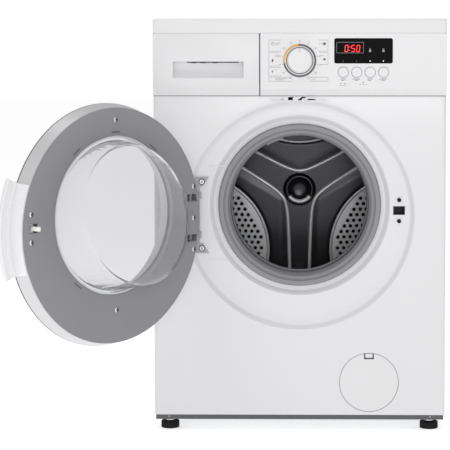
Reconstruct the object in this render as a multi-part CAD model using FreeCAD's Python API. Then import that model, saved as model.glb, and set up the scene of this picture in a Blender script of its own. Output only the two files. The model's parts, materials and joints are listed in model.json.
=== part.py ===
"""Front load washing machine: cabinet, hung wash unit, door, drawer and controls.

Frame: millimetres, +Z up, +X to the right and +Y into the machine, seen by someone who stands in
front of it. The origin is on the floor, in the middle of the four feet. Depths are counted from the
front panel's face. The door stands open, which is its rest position.
"""
import FreeCAD, Part
import math
import os

V = FreeCAD.Vector

# ---------------------------------------------------------------------------------------------
# Driving sizes
# ---------------------------------------------------------------------------------------------
# Cabinet
cabinet_width = 600.0
cabinet_height = 850.0
cabinet_depth = 565.0        # front panel face to the rear edge of the worktop
sheet = 1.0                  # steel sheet
panel_bottom = 33.0          # lower edge of the steel panels
fascia_height = 127.5        # controls strip between front panel and worktop
worktop_thickness = 29.5
worktop_round = 3.0
corner_round = 5.0           # upright front edges
front_flange = 22.0          # depth of the front panel's side flanges
edge_flange = 20.0           # width of the side panels' rear flanges
rear_inset = 5.0             # rear panel's outer face, ahead of the worktop's rear edge
joint_gap = 0.3              # between curved faces that must not touch

# Door opening and the pressed rings around it
opening_z = 467.0            # axis of drum and porthole
door_z = 447.0               # centre of the round door
recess_radius = 236.0
recess_depth = 10.0
recess_slope = 8.0           # how far a pressed wall leans in
collar_radius = 186.0        # second pressed ring, round the porthole
collar_depth = 12.0
lip_radius = 167.5           # hole in the front panel that the gasket grips
lip_length = 14.0

# Door
door_open_deg = 131.3        # from closed to the open stop
door_radius = 235.0          # widest, at its outer edge
door_ring_radius = 227.2     # grey inner ring
door_gap = 3.0               # inner ring's face, ahead of the front panel's face when shut
door_ring_thickness = 3.0
door_edge = 30.0             # inner ring's face to the outer edge
door_crown = 11.0            # how far the outer skin bulges past the outer edge
door_skin = 3.0
door_edge_land = 3.0         # flat of the outer edge
door_shoulder = 8.0          # where the crown starts, in from the outer edge and behind it
door_dish = 24.0             # flat of the crown, out from the glass opening
ring_rim = 5.0               # clearing cut round the inner ring
glass_hole_gap = 3.0         # frame's hole outside the glass opening
glass_opening = 153.3
glass_thickness = 4.5
glass_root_radius = 146.0
glass_end_radius = 121.0
glass_taper_depth = 119.0    # where the bowl's cone has come down to that radius
glass_depth = 59.0           # depth of the slanted end on the porthole's axis
glass_slant = 0.1935         # extra depth per millimetre of height lost
glass_flange = 8.0           # seat of the glass outside the opening
glass_flange_thickness = 4.0

# Hinge
hinge_x = -223.6
hinge_ahead = 27.0           # pivot ahead of the front panel's face
hinge_arm_offset = 41.0      # arms above and below the door's centre
hinge_arm_height = 12.0
hinge_arm_thickness = 5.0
hinge_barrel_radius = 6.0
hinge_pin_radius = 3.0
pin_clearance = 0.05         # running fit, on the radius
hinge_lug = 6.0
hinge_slot_gap = 1.5         # above and below an arm in the door
hinge_barrel_room = 1.2      # round a barrel in the door
hinge_lug_out = 12.0         # lug's reach from the pivot, outwards
hinge_lug_in = 9.0           # and inwards
hinge_slot_reach = 31.0      # slot's inner end, from the pivot
hinge_slot_edge = 0.6        # left standing between slot and outer edge
hinge_plate = 2.5
hinge_plate_x = -201.4       # line of the hinge's screws
hinge_screw_offset = 68.8
hinge_plate_half_width = 14.5
hinge_plate_end = 10.0       # plate beyond its screws
hinge_strip_width = 10.0
hinge_ear_inner = 6.0        # ear's inner end beyond the strip
hinge_arm_root = 8.5         # arm's root from the strip's outer edge
hinge_root_sink = 0.5        # arm's root into the plate
hinge_foot_width = 14.0
hinge_foot_height = 3.0
hinge_foot_over = 1.0        # foot above and below an arm

# Door catch
catch_x = 204.9
catch_z = 456.5
catch_slot_width = 21.6
catch_slot_height = 15.4
catch_screw_offset = 21.8
hook_thickness = 8.0
hook_shank = 6.0
hook_reach = 20.0            # beyond the inner ring's face
hook_pivot_depth = 13.0      # pivot behind the inner ring's face
hook_pin_radius = 2.0
hook_window_side = 1.0       # window narrower than the catch's slot, each side
hook_window_over = 0.8       # and taller, above and below
hook_lug_half = 7.0
hook_lug_wall = 5.0
hook_lug_gap = 0.5
hook_hub_wall = 1.5
hook_nose = 4.0              # how far the nose stands out sideways
hook_nose_length = 9.0
hook_nose_flat = 1.0
hook_tip_slope = 5.0
lock_depth = 34.0
lock_wall = 7.0

# Screws of the door's inner ring
ring_screw_hinge_x = -210.7
ring_screw_hinge_offset = 64.0
ring_screw_catch_x = 208.9
ring_screw_catch_offset = 26.0
ring_screw_reach = 184.0     # top and bottom ones, from the porthole's axis
door_screw_radius = 2.0
door_screw_head = 3.6
door_screw_hole = 4.0
door_screw_length = 14.0
door_screw_sink = 0.4        # head below the ring's face
door_screw_recess = 1.2
door_boss_radius = 6.0

# Door handle
handle_low_angle = 19.5        # below the level through the door's middle
handle_high_angle = 23.0       # above it
handle_reach = 27.0          # beyond the door's edge
handle_thickness = 5.0
handle_root = 9.0
handle_lip = 4.0

# Fascia, drawer and controls
fascia_proud = 8.0
fascia_bevel = 13.0          # height of the slanted lower edge
fascia_wall = 2.5
drawer_split_x = -81.6
drawer_seam = 2.5
drawer_front_depth = 12.0    # rear edge of the drawer front, behind the panel face
grip_left = -259.0
grip_right = -114.6
grip_rise = 35.8             # pocket's lower edge above the fascia's
grip_height = 34.0
grip_depth = 14.0
grip_wall = 2.0
finger_left = -231.0
finger_right = -125.0
finger_height = 10.0
finger_depth = 8.0
tray_depth = 220.0
tray_rise = 28.0             # above the fascia's lower edge
tray_height = 50.0
tray_wall = 2.0
tray_cells = 3
tray_gap = 2.5
housing_wall = 2.5
housing_depth = 285.0
housing_rise = 23.0          # above the fascia's lower edge
housing_drop = 8.5           # below the worktop
housing_margin = 7.0         # from the cabinet's left side
housing_split_gap = 28.4     # from the drawer's right edge
fill_neck_radius = 18.0
fill_neck_length = 14.0
fill_neck_right = 42.0       # from the middle of the dispenser
fill_neck_ahead = 26.0       # from its rear
fill_neck_clear = 2.0        # tub's inlet above the tub's wall
fill_hose_overlap = 8.0

knob_x = 0.0
knob_rise = 72.0             # above the fascia's lower edge
knob_radius = 25.0
knob_skirt_radius = 28.0
knob_height = 16.0
knob_skirt = 3.0
knob_shaft_radius = 3.0
display_left = 70.5
display_right = 189.8
display_rise = 66.1
display_height = 51.3
display_corner = 4.0
display_proud = 0.3
button_rise = 48.2
button_first_x = 88.8
button_pitch = 27.5
button_count = 4
button_radius = 10.25
button_gap = 0.4
button_proud = 2.5
button_travel = 2.5
button_stem_radius = 4.0
button_collar = 1.6
board_left = -60.0
board_right = 240.0
board_depth = 20.0           # its face behind the front panel's face
board_thickness = 25.0
board_edge = 9.0             # below and above the fascia's inner faces
board_foot = 12.0            # width of the feet and clips
board_foot_depth = 6.0
board_foot_inset = 20.0      # their middle from the board's ends
button_collar_depth = 1.5

# Filter access
flap_x = 143.4
flap_z = 101.2
flap_radius = 61.0
flap_gap = 0.6
flap_thickness = 2.0
flap_notch_width = 20.0
flap_notch_height = 12.5
filter_drop = 6.0            # filter axis below the flap's centre
filter_bore = 30.0
filter_wall = 4.0
filter_face = 14.0
filter_length = 96.0
filter_cap_lap = 1.0         # cap's rim beyond the bore
filter_cap_thickness = 6.0
filter_grip = 4.0
filter_grip_short = 6.0      # grip bar's ends inside the cap's rim
strainer_wall = 6.0
strainer_short = 20.0        # strainer's end ahead of the barrel's
strainer_slot = 8.0
strainer_slot_start = 30.0
strainer_slot_end = 8.0
strainer_slots = 6
pump_radius = 40.0
pump_length = 30.0
pump_motor_radius = 28.0
pump_motor_length = 50.0
pump_port_radius = 14.0
drain_port_radius = 9.5
pump_port_length = 16.0      # beyond the barrel or the chamber
pump_stand_half = 22.0
pump_stand_front = 26.0      # from the filter's face
pump_stand_rear = 4.0        # ahead of the chamber's rear
pump_stand_top = 20.0        # below the filter's axis
hose_overlap = 12.0
sump_hose_bends = (50.0, 26.0)
drain_hose_bend = 34.0
hose_wall = 2.5

# Base and feet
base_bottom = 23.6
base_margin = 2.0
base_rim = 40.0
base_plate = 3.0
sump_port_x = 45.0
sump_port_depth = 300.0
sump_port_length = 16.0
plinth_depth = 5.0
foot_margin = 30.0           # foot axis from the cabinet's sides
foot_inset = 35.0            # foot axis from the front face and from the worktop's rear edge
foot_pad_radius = 19.0
foot_pad_height = 14.0
foot_stud_radius = 5.0
nut_across_flats = 18.5
nut_sides = 6
nut_height = 8.0

# Wash unit
drum_radius = 238.0
drum_sheet = 1.0
drum_front = 78.0            # depth of its front wall
drum_back = 450.0            # depth of its back wall
drum_mouth = 141.0
drum_mouth_roll = 8.0        # depth of the rolled mouth
drum_cup_radius = 33.0       # pressed round the hub
drum_cup_depth = 6.0
spider_arm_start = 30.0      # angle of the first arm and the first lifter
lifter_round = 6.0
lifter_count = 3
lifter_height = 48.0
lifter_width = 62.0
lifter_top_width = 18.0
lifter_margin = 22.0
tub_gap = 10.0               # between drum and tub
tub_wall = 4.0
tub_front_gap = 4.0
tub_seam = 250.0
tub_seam_flange = 10.0
tub_seam_thickness = 6.0
tub_rear = 466.0
tub_rear_wall = 6.0
tub_neck_outer = 152.0
tub_neck_wall = 5.0
tub_neck_length = 10.0
tub_screw_count = 16
tub_screw_radius = 2.5
tub_screw_head = 4.5
tub_screw_bore = 20.0
tub_hub_overlap = 4.0        # ribs into the hub and short of the rim
sump_overlap = 30.0          # sump's walls up into the tub
sump_cut = 52.0              # its inside, up from the tub's bottom
motor_lug_overlap = 20.0
motor_lug_front = 30.0       # front lug behind the motor's face
motor_lug_rear = 45.0        # rear lug ahead of its rear
damper_lug_height = 40.0
damper_lug_drop = 14.0       # lug's underside below the tub's wall
spring_lug_height = 40.0
tub_rib_count = 12
tub_rib_height = 14.0
tub_rib_thickness = 4.0
hub_radius = 42.0
hub_end = 522.0
bearing_front_outer = 31.0
bearing_front_inner = 15.0
bearing_rear_outer = 26.0
bearing_rear_inner = 12.5
bearing_width = 16.0
bearing_groove = 1.5         # depth of the groove between the races
seal_width = 8.0
hub_step = 20.0              # bore left between the bearings
spider_thickness = 11.0
spider_hub_radius = 36.0
spider_arm_width = 34.0
spider_arm_reach = 226.0
pulley_radius = 135.0
pulley_rim = 10.0
pulley_width = 18.0
pulley_gap = 4.0
pulley_hub_radius = 22.0
pulley_web = 4.0
pulley_hole_count = 6
pulley_hole_radius = 30.0
motor_x = -60.0
motor_z = 122.0
motor_radius = 62.0
motor_front = 370.0
motor_rear = 500.0
motor_shaft_radius = 6.0
motor_pulley_radius = 11.0
motor_saddle = 5.0
motor_saddle_half = 30.0
motor_saddle_drop = 14.0     # saddle down into the motor's body
motor_slot_depth = 5.0
motor_slot_margin = 20.0     # cooling slots from the motor's ends
motor_slot_count = 13
motor_slot_step = 15.0
motor_shaft_bore = 20.0      # shaft's length inside the motor
belt_width = 12.0
belt_thickness = 2.5
sump_half_width = 70.0
sump_depth = 24.0
sump_front = 270.0
heater_rod = 4.0
heater_spread = 30.0
heater_length = 150.0
heater_plate = 4.0
heater_rise = 10.0           # rods above the sump's floor
heater_plug = 8.0            # plug beyond the rods
heater_plug_half = 7.0
heater_plate_side = 16.0     # plate beyond the rods
heater_plate_half = 14.0
heater_tab_half = 3.0
heater_tab_length = 18.0
top_weight_left = -84.0
top_weight_right = 165.0
top_weight_front = 110.0
top_weight_rear = 236.0
top_weight_height = 52.0
top_weight_round = 8.0
front_weight_outer = 244.0
front_weight_inner = 176.0
front_weight_depth = 26.0
front_weight_half_angle = 62.0

# Gasket
gasket_gap = 0.2             # off the lip and the neck
gasket_wall = 4.0
gasket_ahead = 8.0           # its face ahead of the collar's floor
gasket_grip = 12.0           # along the lip
gasket_fold = 5.0
gasket_face = 157.0          # radius where its face starts to slant inwards
gasket_mouth = 143.0
gasket_lip_width = 7.0
gasket_lip_rear = 14.0       # mouth's rear edge behind the collar's floor
gasket_lip_thickness = 4.0

# Suspension
tub_travel = 8.0
damper_x = 190.0
damper_depth = 276.0
damper_outer = 16.0
damper_rod_radius = 11.0
damper_bottom = 62.0
damper_top = 190.0
damper_eye = 14.0
damper_lug = 12.0
damper_end_gap = 4.0         # below a rod at the end of its travel
spring_margin = 38.0         # from the cabinet's sides
spring_depths = (336.0, 440.0)
spring_radius = 14.0
spring_wire = 3.0
spring_rise = 129.0          # lower end above the drum's axis
lug_half_width = 13.0
lug_thickness = 10.0
rail_height = 30.0
rail_width = 40.0
rail_wall = 3.0
cross_member = 30.0

# Rear face
cover_half_width = 180.0
cover_bottom = 210.0
cover_top = 650.0
cover_rim = 22.0
cover_screw_inset = 5.5      # screws in from the cover's sides
cover_bulge = 3.0
screw_radius = 2.5
screw_head_radius = 5.0
screw_head = 2.5
screw_length = 12.0
lock_screw_head = 4.0
inlet_x = -200.0
inlet_drop = 38.5            # below the worktop
inlet_thread_radius = 13.2
inlet_root_radius = 16.0     # shoulder that fills the hole in the rear panel
inlet_thread_length = 14.0
inlet_body = 44.0
inlet_pipe_radius = 7.0
outlet_margin = 32.0         # from the cabinet's right side
outlet_radius = 10.5
outlet_root_radius = 13.0
spigot_root = 3.0            # length of the shoulders
barb_length = 16.0
outlet_length = 30.0
mains_x = 235.0
mains_drop = 60.5            # below the worktop
mains_size = 50.0
mains_gland_radius = 9.0
mains_gland_length = 10.0

# ---------------------------------------------------------------------------------------------
# Places worked out from them
# ---------------------------------------------------------------------------------------------
half_width = cabinet_width / 2
front_y = -cabinet_depth / 2
rear_face = cabinet_depth - rear_inset
case_top = cabinet_height - worktop_thickness
panel_top = case_top - fascia_height
inner_x = half_width - sheet
hinge_y = front_y - hinge_ahead
ring_face = -door_gap                       # depth of the inner ring's face, door shut
ring_back = ring_face - door_ring_thickness
edge_depth = ring_face - door_edge
tub_inner = drum_radius + tub_gap
tub_outer = tub_inner + tub_wall
tub_front = drum_front - tub_front_gap
pulley_front = hub_end + pulley_gap
pulley_back = pulley_front + pulley_width
board_bottom = panel_top + fascia_wall + board_edge
board_top = case_top - fascia_wall - board_edge
filter_z = flap_z - filter_drop
pump_front = filter_face + filter_length
grip_bottom = panel_top + grip_rise
grip_top = grip_bottom + grip_height
tray_bottom = panel_top + tray_rise
housing_bottom = panel_top + housing_rise
housing_top = case_top - housing_drop
housing_left = housing_margin - half_width
housing_right = drawer_split_x - housing_split_gap
knob_z = panel_top + knob_rise
display_bottom = panel_top + display_rise
display_top = display_bottom + display_height
button_z = panel_top + button_rise
foot_x = half_width - foot_margin
spring_x = half_width - spring_margin
spring_bottom = opening_z + spring_rise
inlet_z = case_top - inlet_drop
outlet_x = half_width - outlet_margin
outlet_z = filter_z
mains_z = case_top - mains_drop
filter_cap_radius = filter_bore + filter_cap_lap
button_xs = [button_first_x + button_pitch * i for i in range(button_count)]
foot_depths = (foot_inset, cabinet_depth - foot_inset)
pump_port_depth = filter_face + filter_length / 2
drain_port_depth = pump_front + pump_length / 2


# ---------------------------------------------------------------------------------------------
# Shapes
# ---------------------------------------------------------------------------------------------
def box(x0, x1, d0, d1, z0, z1):
    """Block between two X values, two depths and two heights."""
    return Part.makeBox(x1 - x0, d1 - d0, z1 - z0, V(x0, front_y + d0, z0))


def rod_x(depth, z, radius, x0, x1):
    return Part.makeCylinder(radius, x1 - x0, V(x0, front_y + depth, z), V(1, 0, 0))


def rod_y(x, z, radius, d0, d1):
    return Part.makeCylinder(radius, d1 - d0, V(x, front_y + d0, z), V(0, 1, 0))


def rod_z(x, depth, radius, z0, z1):
    return Part.makeCylinder(radius, z1 - z0, V(x, front_y + depth, z0), V(0, 0, 1))


def tube_y(x, z, outer, inner, d0, d1):
    return rod_y(x, z, outer, d0, d1).cut(rod_y(x, z, inner, d0 - 1, d1 + 1))


def turned(profile, x, z):
    """Solid turned about the Y line through (x, z), from (radius, depth) corners."""
    points = [V(x + radius, front_y + depth, z) for radius, depth in profile]
    face = Part.Face(Part.makePolygon(points + points[:1]))
    return face.revolve(V(x, 0, z), V(0, 1, 0), 360)


def prism_x(outline, x0, x1):
    """Prism along X over (depth, z) corners."""
    points = [V(x0, front_y + depth, z) for depth, z in outline]
    return Part.Face(Part.makePolygon(points + points[:1])).extrude(V(x1 - x0, 0, 0))


def prism_y(outline, d0, d1):
    """Prism along Y over (x, z) corners."""
    points = [V(x, front_y + d0, z) for x, z in outline]
    return Part.Face(Part.makePolygon(points + points[:1])).extrude(V(0, d1 - d0, 0))


def prism_z(outline, z0, z1):
    """Prism along Z over (x, depth) corners."""
    points = [V(x, front_y + depth, z0) for x, depth in outline]
    return Part.Face(Part.makePolygon(points + points[:1])).extrude(V(0, 0, z1 - z0))


def fused(shapes):
    """One clean solid from overlapping or touching shapes."""
    whole = shapes[0]
    for shape in shapes[1:]:
        whole = whole.fuse(shape)
    return whole.removeSplitter()


def cut(shape, tools):
    return shape.cut(list(tools))


def polar(x, z, radius, degrees):
    """Point at an angle round (x, z), counted from +X towards +Z."""
    angle = math.radians(degrees)
    return x + radius * math.cos(angle), z + radius * math.sin(angle)


def spun(shape, x, z, degrees):
    """Copy of a shape turned about the Y line through (x, z), from +X towards +Z."""
    copy = shape.copy()
    copy.rotate(V(x, 0, z), V(0, 1, 0), -degrees)
    return copy


def sector(x, z, outer, inner, start, end, d0, d1):
    """Part of a flat ring between two angles."""
    corners = [polar(x, z, radius, angle) for radius, angle in (
        (inner, start), (outer, start), (outer, (start + end) / 2),
        (outer, end), (inner, end), (inner, (start + end) / 2))]
    a, b, c, d, e, f = [V(px, front_y + d0, pz) for px, pz in corners]
    edges = [Part.LineSegment(a, b).toShape(), Part.Arc(b, c, d).toShape(),
             Part.LineSegment(d, e).toShape(), Part.Arc(e, f, a).toShape()]
    return Part.Face(Part.Wire(edges)).extrude(V(0, d1 - d0, 0))


def mirrored(shape):
    """The same piece on the other side of the cabinet."""
    return shape.mirror(V(0, 0, 0), V(1, 0, 0))


def hose(route, bends, radius, wall):
    """Tube along straight runs joined by tangent arcs; route holds (x, depth, z) corners."""
    points = [V(x, front_y + depth, z) for x, depth, z in route]
    edges = []
    start = points[0]
    for before, corner, after, bend in zip(points, points[1:], points[2:], bends):
        to_before = (before - corner).normalize()
        to_after = (after - corner).normalize()
        turn = math.pi - to_before.getAngle(to_after)
        setback = bend * math.tan(turn / 2)
        arc_start = corner + to_before * setback
        arc_end = corner + to_after * setback
        inward = (to_before + to_after).normalize()
        middle = corner + inward * (bend / math.cos(turn / 2) - bend)
        edges.append(Part.LineSegment(start, arc_start).toShape())
        edges.append(Part.Arc(arc_start, middle, arc_end).toShape())
        start = arc_end
    edges.append(Part.LineSegment(start, points[-1]).toShape())
    path = Part.Wire(edges)
    along = (points[1] - points[0]).normalize()

    def swept(r):
        ring = Part.Wire(Part.makeCircle(r, points[0], along))
        return path.makePipeShell([ring], True, False)

    return swept(radius).cut(swept(radius - wall))


def rounded(shape, radius, wanted):
    """Fillet of the edges that a test picks."""
    return shape.makeFillet(radius, [edge for edge in shape.Edges if wanted(edge)])


def is_upright(edge):
    box_of = edge.BoundBox
    return box_of.ZLength > 1 and box_of.XLength < 0.01 and box_of.YLength < 0.01


def save(name, shape):
    shape.exportStep("parts/" + name + ".step")


def door_opened(shape):
    """A piece of the shut door, turned about the hinge to the open stop."""
    copy = shape.copy()
    copy.rotate(V(hinge_x, hinge_y, 0), V(0, 0, 1), -door_open_deg)
    return copy


# ---------------------------------------------------------------------------------------------
# Cabinet
# ---------------------------------------------------------------------------------------------
def pressed_wall(z, radius, d0, d1):
    """Leaning wall of a pressed ring, from its rim to its floor."""
    foot = radius - recess_slope
    back = sheet * math.hypot(1, recess_slope / (d1 - d0))
    return turned([(radius, d0), (radius + back, d0), (foot + back, d1 + sheet),
                   (foot, d1 + sheet), (foot, d1)], 0, z)


def front_panel():
    case = box(-half_width, half_width, 0, front_flange, panel_bottom, panel_top)
    case = rounded(case, corner_round, lambda e: is_upright(e) and e.BoundBox.YMin < front_y + 1)
    inside = box(-inner_x, inner_x, sheet, front_flange + 1,
                 panel_bottom + sheet, panel_top - sheet)
    inside = rounded(inside, corner_round - sheet,
                     lambda e: is_upright(e) and e.BoundBox.YMin < front_y + 2)
    skin = case.cut(inside).cut(rod_y(0, door_z, recess_radius, -1, sheet + 1))
    collar_face = recess_depth + collar_depth
    floor = rod_y(0, door_z, recess_radius - recess_slope + sheet, recess_depth,
                  recess_depth + sheet)
    floor = floor.cut(rod_y(0, opening_z, collar_radius, 0, collar_face))
    collar = tube_y(0, opening_z, collar_radius - recess_slope + sheet, lip_radius,
                    collar_face, collar_face + sheet)
    lip = tube_y(0, opening_z, lip_radius + sheet, lip_radius, collar_face,
                 collar_face + lip_length)
    panel = fused([skin, pressed_wall(door_z, recess_radius, 0, recess_depth), floor,
                   pressed_wall(opening_z, collar_radius, recess_depth, collar_face),
                   collar, lip])
    holes = [rod_y(flap_x, flap_z, flap_radius, -1, sheet + 1),
             catch_slot(recess_depth - 1, recess_depth + sheet + 1)]
    holes += [rod_y(x, z, screw_radius, recess_depth - 1, recess_depth + sheet + 1)
              for x, z in hinge_screw_places() + lock_screw_places()]
    return cut(panel, holes)


def catch_slot(d0, d1):
    return box(catch_x - catch_slot_width / 2, catch_x + catch_slot_width / 2, d0, d1,
               catch_z - catch_slot_height / 2, catch_z + catch_slot_height / 2)


def hinge_screw_places():
    return [(hinge_plate_x, door_z + side * hinge_screw_offset) for side in (-1, 1)]


def lock_screw_places():
    return [(catch_x, catch_z + side * catch_screw_offset) for side in (-1, 1)]


def side_panel():
    """Right side panel with its rear flange; the left one is its mirror image."""
    skin = box(inner_x, half_width, front_flange, rear_face + sheet, panel_bottom, case_top)
    flange = box(half_width - edge_flange, half_width, rear_face, rear_face + sheet,
                 panel_bottom, case_top)
    return fused([skin, flange])


def rear_panel():
    plate = box(-inner_x, inner_x, rear_face - sheet, rear_face, panel_bottom, case_top)
    inset = cover_rim - 2 * screw_radius
    window = box(-cover_half_width + inset, cover_half_width - inset, rear_face - 2, rear_face + 1,
                 cover_bottom + inset, cover_top - inset)
    holes = [rod_y(x, z, radius, rear_face - 2, rear_face + 1) for x, z, radius in (
        (inlet_x, inlet_z, inlet_root_radius), (outlet_x, outlet_z, outlet_root_radius),
        (mains_x, mains_z, mains_gland_radius))]
    holes += [rod_y(x, z, screw_radius, rear_face - 2, rear_face + 1)
              for x, z in cover_screw_places()]
    return cut(plate, [window] + holes)


def cover_screw_places():
    """Screws down both sides of the rear service cover."""
    reach = cover_half_width - cover_screw_inset
    low, high = cover_bottom + cover_rim, cover_top - cover_rim
    return [(side * reach, z) for side in (-1, 1) for z in (low, (low + high) / 2, high)]


def rear_cover():
    """Service cover: a flat rim and a shallow pressed panel that stands out."""
    rim = box(-cover_half_width, cover_half_width, rear_face, rear_face + sheet,
              cover_bottom, cover_top)
    bulge = box(-cover_half_width + cover_rim, cover_half_width - cover_rim, rear_face,
                rear_face + sheet + cover_bulge, cover_bottom + cover_rim, cover_top - cover_rim)
    hollow = box(-cover_half_width + cover_rim + sheet, cover_half_width - cover_rim - sheet,
                 rear_face - 1, rear_face + cover_bulge, cover_bottom + cover_rim + sheet,
                 cover_top - cover_rim - sheet)
    holes = [rod_y(x, z, screw_radius, rear_face - 1, rear_face + sheet + 1)
             for x, z in cover_screw_places()]
    return cut(fused([rim, bulge]), [hollow] + holes)


def worktop():
    slab = box(-half_width, half_width, -fascia_proud, cabinet_depth, case_top, cabinet_height)
    slab = rounded(slab, corner_round, is_upright)
    return rounded(slab, worktop_round, lambda e: e.BoundBox.ZMin > cabinet_height - 0.01)


def top_frame():
    """Two side rails that carry the springs, tied by a front and a rear cross member."""
    top = case_top
    rail = fused([
        box(inner_x - rail_wall, inner_x, front_flange, rear_face - sheet, top - rail_height, top),
        box(inner_x - rail_width, inner_x, front_flange, rear_face - sheet, top - rail_wall, top)])
    front = box(-inner_x, inner_x, board_depth + board_thickness + rail_wall,
                board_depth + board_thickness + rail_wall + cross_member, top - rail_wall, top)
    rear = box(-inner_x, inner_x, rear_face - sheet - cross_member, rear_face - sheet,
               top - rail_wall, top)
    return fused([rail, mirrored(rail), front, rear])


def base_frame():
    x = inner_x - base_margin
    front = sheet + plinth_depth
    rear = rear_face - sheet
    tray = box(-x, x, front, rear, base_bottom, panel_bottom)
    pocket = box(-x + base_rim, x - base_rim, front + base_rim + foot_pad_radius,
                 rear - base_rim - foot_pad_radius, base_bottom - 1, panel_bottom - base_plate)
    studs = [rod_z(px, depth, foot_stud_radius, base_bottom - 1, panel_bottom + 1)
             for px, depth in foot_places()]
    return cut(tray, [pocket] + studs)


def plinth_strip():
    """Strip below the front panel, with a small vent slot over each front foot."""
    x = inner_x - base_margin
    strip = box(-x, x, sheet, sheet + plinth_depth, base_bottom, panel_bottom)
    middle = (base_bottom + panel_bottom) / 2
    slots = [rod_y(side * foot_x, middle, screw_radius, 0, sheet + plinth_depth + 1)
             for side in (-1, 1)]
    return cut(strip, slots)


def foot_places():
    return [(side * foot_x, depth) for side in (-1, 1) for depth in foot_depths]


def feet():
    """Four levelling feet: a pad on a threaded stud that screws into the base."""
    made = []
    for x, depth in foot_places():
        pad = rod_z(x, depth, foot_pad_radius, 0, foot_pad_height)
        stud = rod_z(x, depth, foot_stud_radius, foot_pad_height, panel_bottom)
        made.append(fused([pad, stud]))
    return Part.makeCompound(made)


def foot_locknuts():
    """Hexagon nuts that lock the feet against the base."""
    made = []
    corner = nut_across_flats / math.sqrt(3)
    for x, depth in foot_places():
        hexagon = [(x + corner * math.cos(math.radians(60 * i)),
                    depth + corner * math.sin(math.radians(60 * i))) for i in range(nut_sides)]
        nut = prism_z(hexagon, base_bottom - nut_height, base_bottom)
        made.append(nut.cut(rod_z(x, depth, foot_stud_radius, 0, panel_bottom)))
    return Part.makeCompound(made)


def screw_y(x, z, seat, length, radius=screw_radius, head_radius=screw_head_radius):
    """Screw along Y that is driven from the front, with its head's underside at seat."""
    head = rod_y(x, z, head_radius, seat - screw_head, seat)
    socket = rod_y(x, z, head_radius / 3, seat - screw_head - 1, seat - screw_head / 2)
    return fused([head.cut(socket), rod_y(x, z, radius, seat, seat + length)])


def cabinet_screws():
    """Screws of the hinge, the door lock and the rear cover."""
    made = [screw_y(x, z, recess_depth - hinge_plate, screw_length)
            for x, z in hinge_screw_places()]
    made += [screw_y(x, z, recess_depth, screw_length, head_radius=lock_screw_head)
             for x, z in lock_screw_places()]
    for x, z in cover_screw_places():
        head = rod_y(x, z, screw_head_radius, rear_face + sheet, rear_face + sheet + screw_head)
        shank = rod_y(x, z, screw_radius, rear_face - screw_length / 2, rear_face + sheet)
        made.append(fused([head, shank]))
    return Part.makeCompound(made)


# ---------------------------------------------------------------------------------------------
# Fascia, controls and drawer
# ---------------------------------------------------------------------------------------------
def fascia_outline(inset, rear):
    """Side view of the controls strip, made smaller all round by inset."""
    return [(inset, panel_top + inset), (-fascia_proud + inset, panel_top + fascia_bevel + inset / 2),
            (-fascia_proud + inset, case_top - inset), (rear, case_top - inset),
            (rear, panel_top + inset)]


def rounded_window(x0, x1, z0, z1, radius, d0, d1):
    block = box(x0, x1, d0, d1, z0, z1)
    return rounded(block, radius, lambda e: e.BoundBox.YLength > 0.5 * (d1 - d0)
                   and e.BoundBox.XLength < 0.01 and e.BoundBox.ZLength < 0.01)


def control_fascia():
    """Moulded controls strip, with the frame that the drawer slides through."""
    left = drawer_split_x + drawer_seam / 2
    shell = prism_x(fascia_outline(0, front_flange), left, half_width)
    hollow = prism_x(fascia_outline(fascia_wall, front_flange + 1),
                     left + fascia_wall, half_width - fascia_wall)
    frame = box(-half_width, left + 1, drawer_front_depth, front_flange, panel_top, case_top)
    opening = box(housing_left + housing_wall, housing_right - housing_wall,
                  drawer_front_depth - 1, front_flange + 1,
                  housing_bottom + housing_wall, housing_top - housing_wall)
    holes = [rod_y(knob_x, knob_z, knob_shaft_radius + joint_gap, -fascia_proud - 1, 0),
             rounded_window(display_left, display_right, display_bottom, display_top,
                            display_corner, -fascia_proud - 1, 0)]
    holes += [rod_y(x, button_z, button_radius + button_gap, -fascia_proud - 1, 0)
              for x in button_xs]
    return cut(fused([shell.cut(hollow), frame]), [opening] + holes)


def display_window():
    return rounded_window(display_left, display_right, display_bottom, display_top,
                          display_corner, -fascia_proud - display_proud,
                          -fascia_proud + fascia_wall)


def control_board():
    """Electronics tray on a foot that stands on the fascia's inner floor."""
    tray = box(board_left, board_right, board_depth, board_depth + board_thickness,
               board_bottom, board_top)
    posts = []
    for x in (board_left + board_foot_inset, board_right - board_foot_inset):
        for low, high in ((panel_top + fascia_wall, board_bottom),
                          (board_top, case_top - fascia_wall)):
            posts.append(box(x - board_foot / 2, x + board_foot / 2,
                             front_flange - board_foot_depth, front_flange, low, high))
    return fused([tray] + posts)


def knob():
    """Programme selector: a cap on a flat skirt, turned by a shaft."""
    face = -fascia_proud - joint_gap
    skirt = rod_y(knob_x, knob_z, knob_skirt_radius, face - knob_skirt, face)
    cap = rod_y(knob_x, knob_z, knob_radius, face - knob_height, face - knob_skirt)
    cap = rounded(cap, 2.0, lambda e: e.BoundBox.YMax < front_y + face - knob_height + 0.1)
    shaft = rod_y(knob_x, knob_z, knob_shaft_radius, face, board_depth - joint_gap)
    return fused([skirt, cap, shaft])


def button(x):
    """Push button with the collar that keeps it behind the fascia."""
    inner_face = -fascia_proud + fascia_wall
    face = -fascia_proud - button_proud
    cap = rod_y(x, button_z, button_radius, face, inner_face)
    cap = rounded(cap, 1.0, lambda e: e.BoundBox.YMax < front_y + face + 0.1)
    stem_face = inner_face + button_collar_depth
    collar = rod_y(x, button_z, button_radius + button_collar, inner_face, stem_face)
    stem = rod_y(x, button_z, button_stem_radius, stem_face,
                 board_depth - button_travel - joint_gap)
    return fused([cap, collar, stem])


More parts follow.
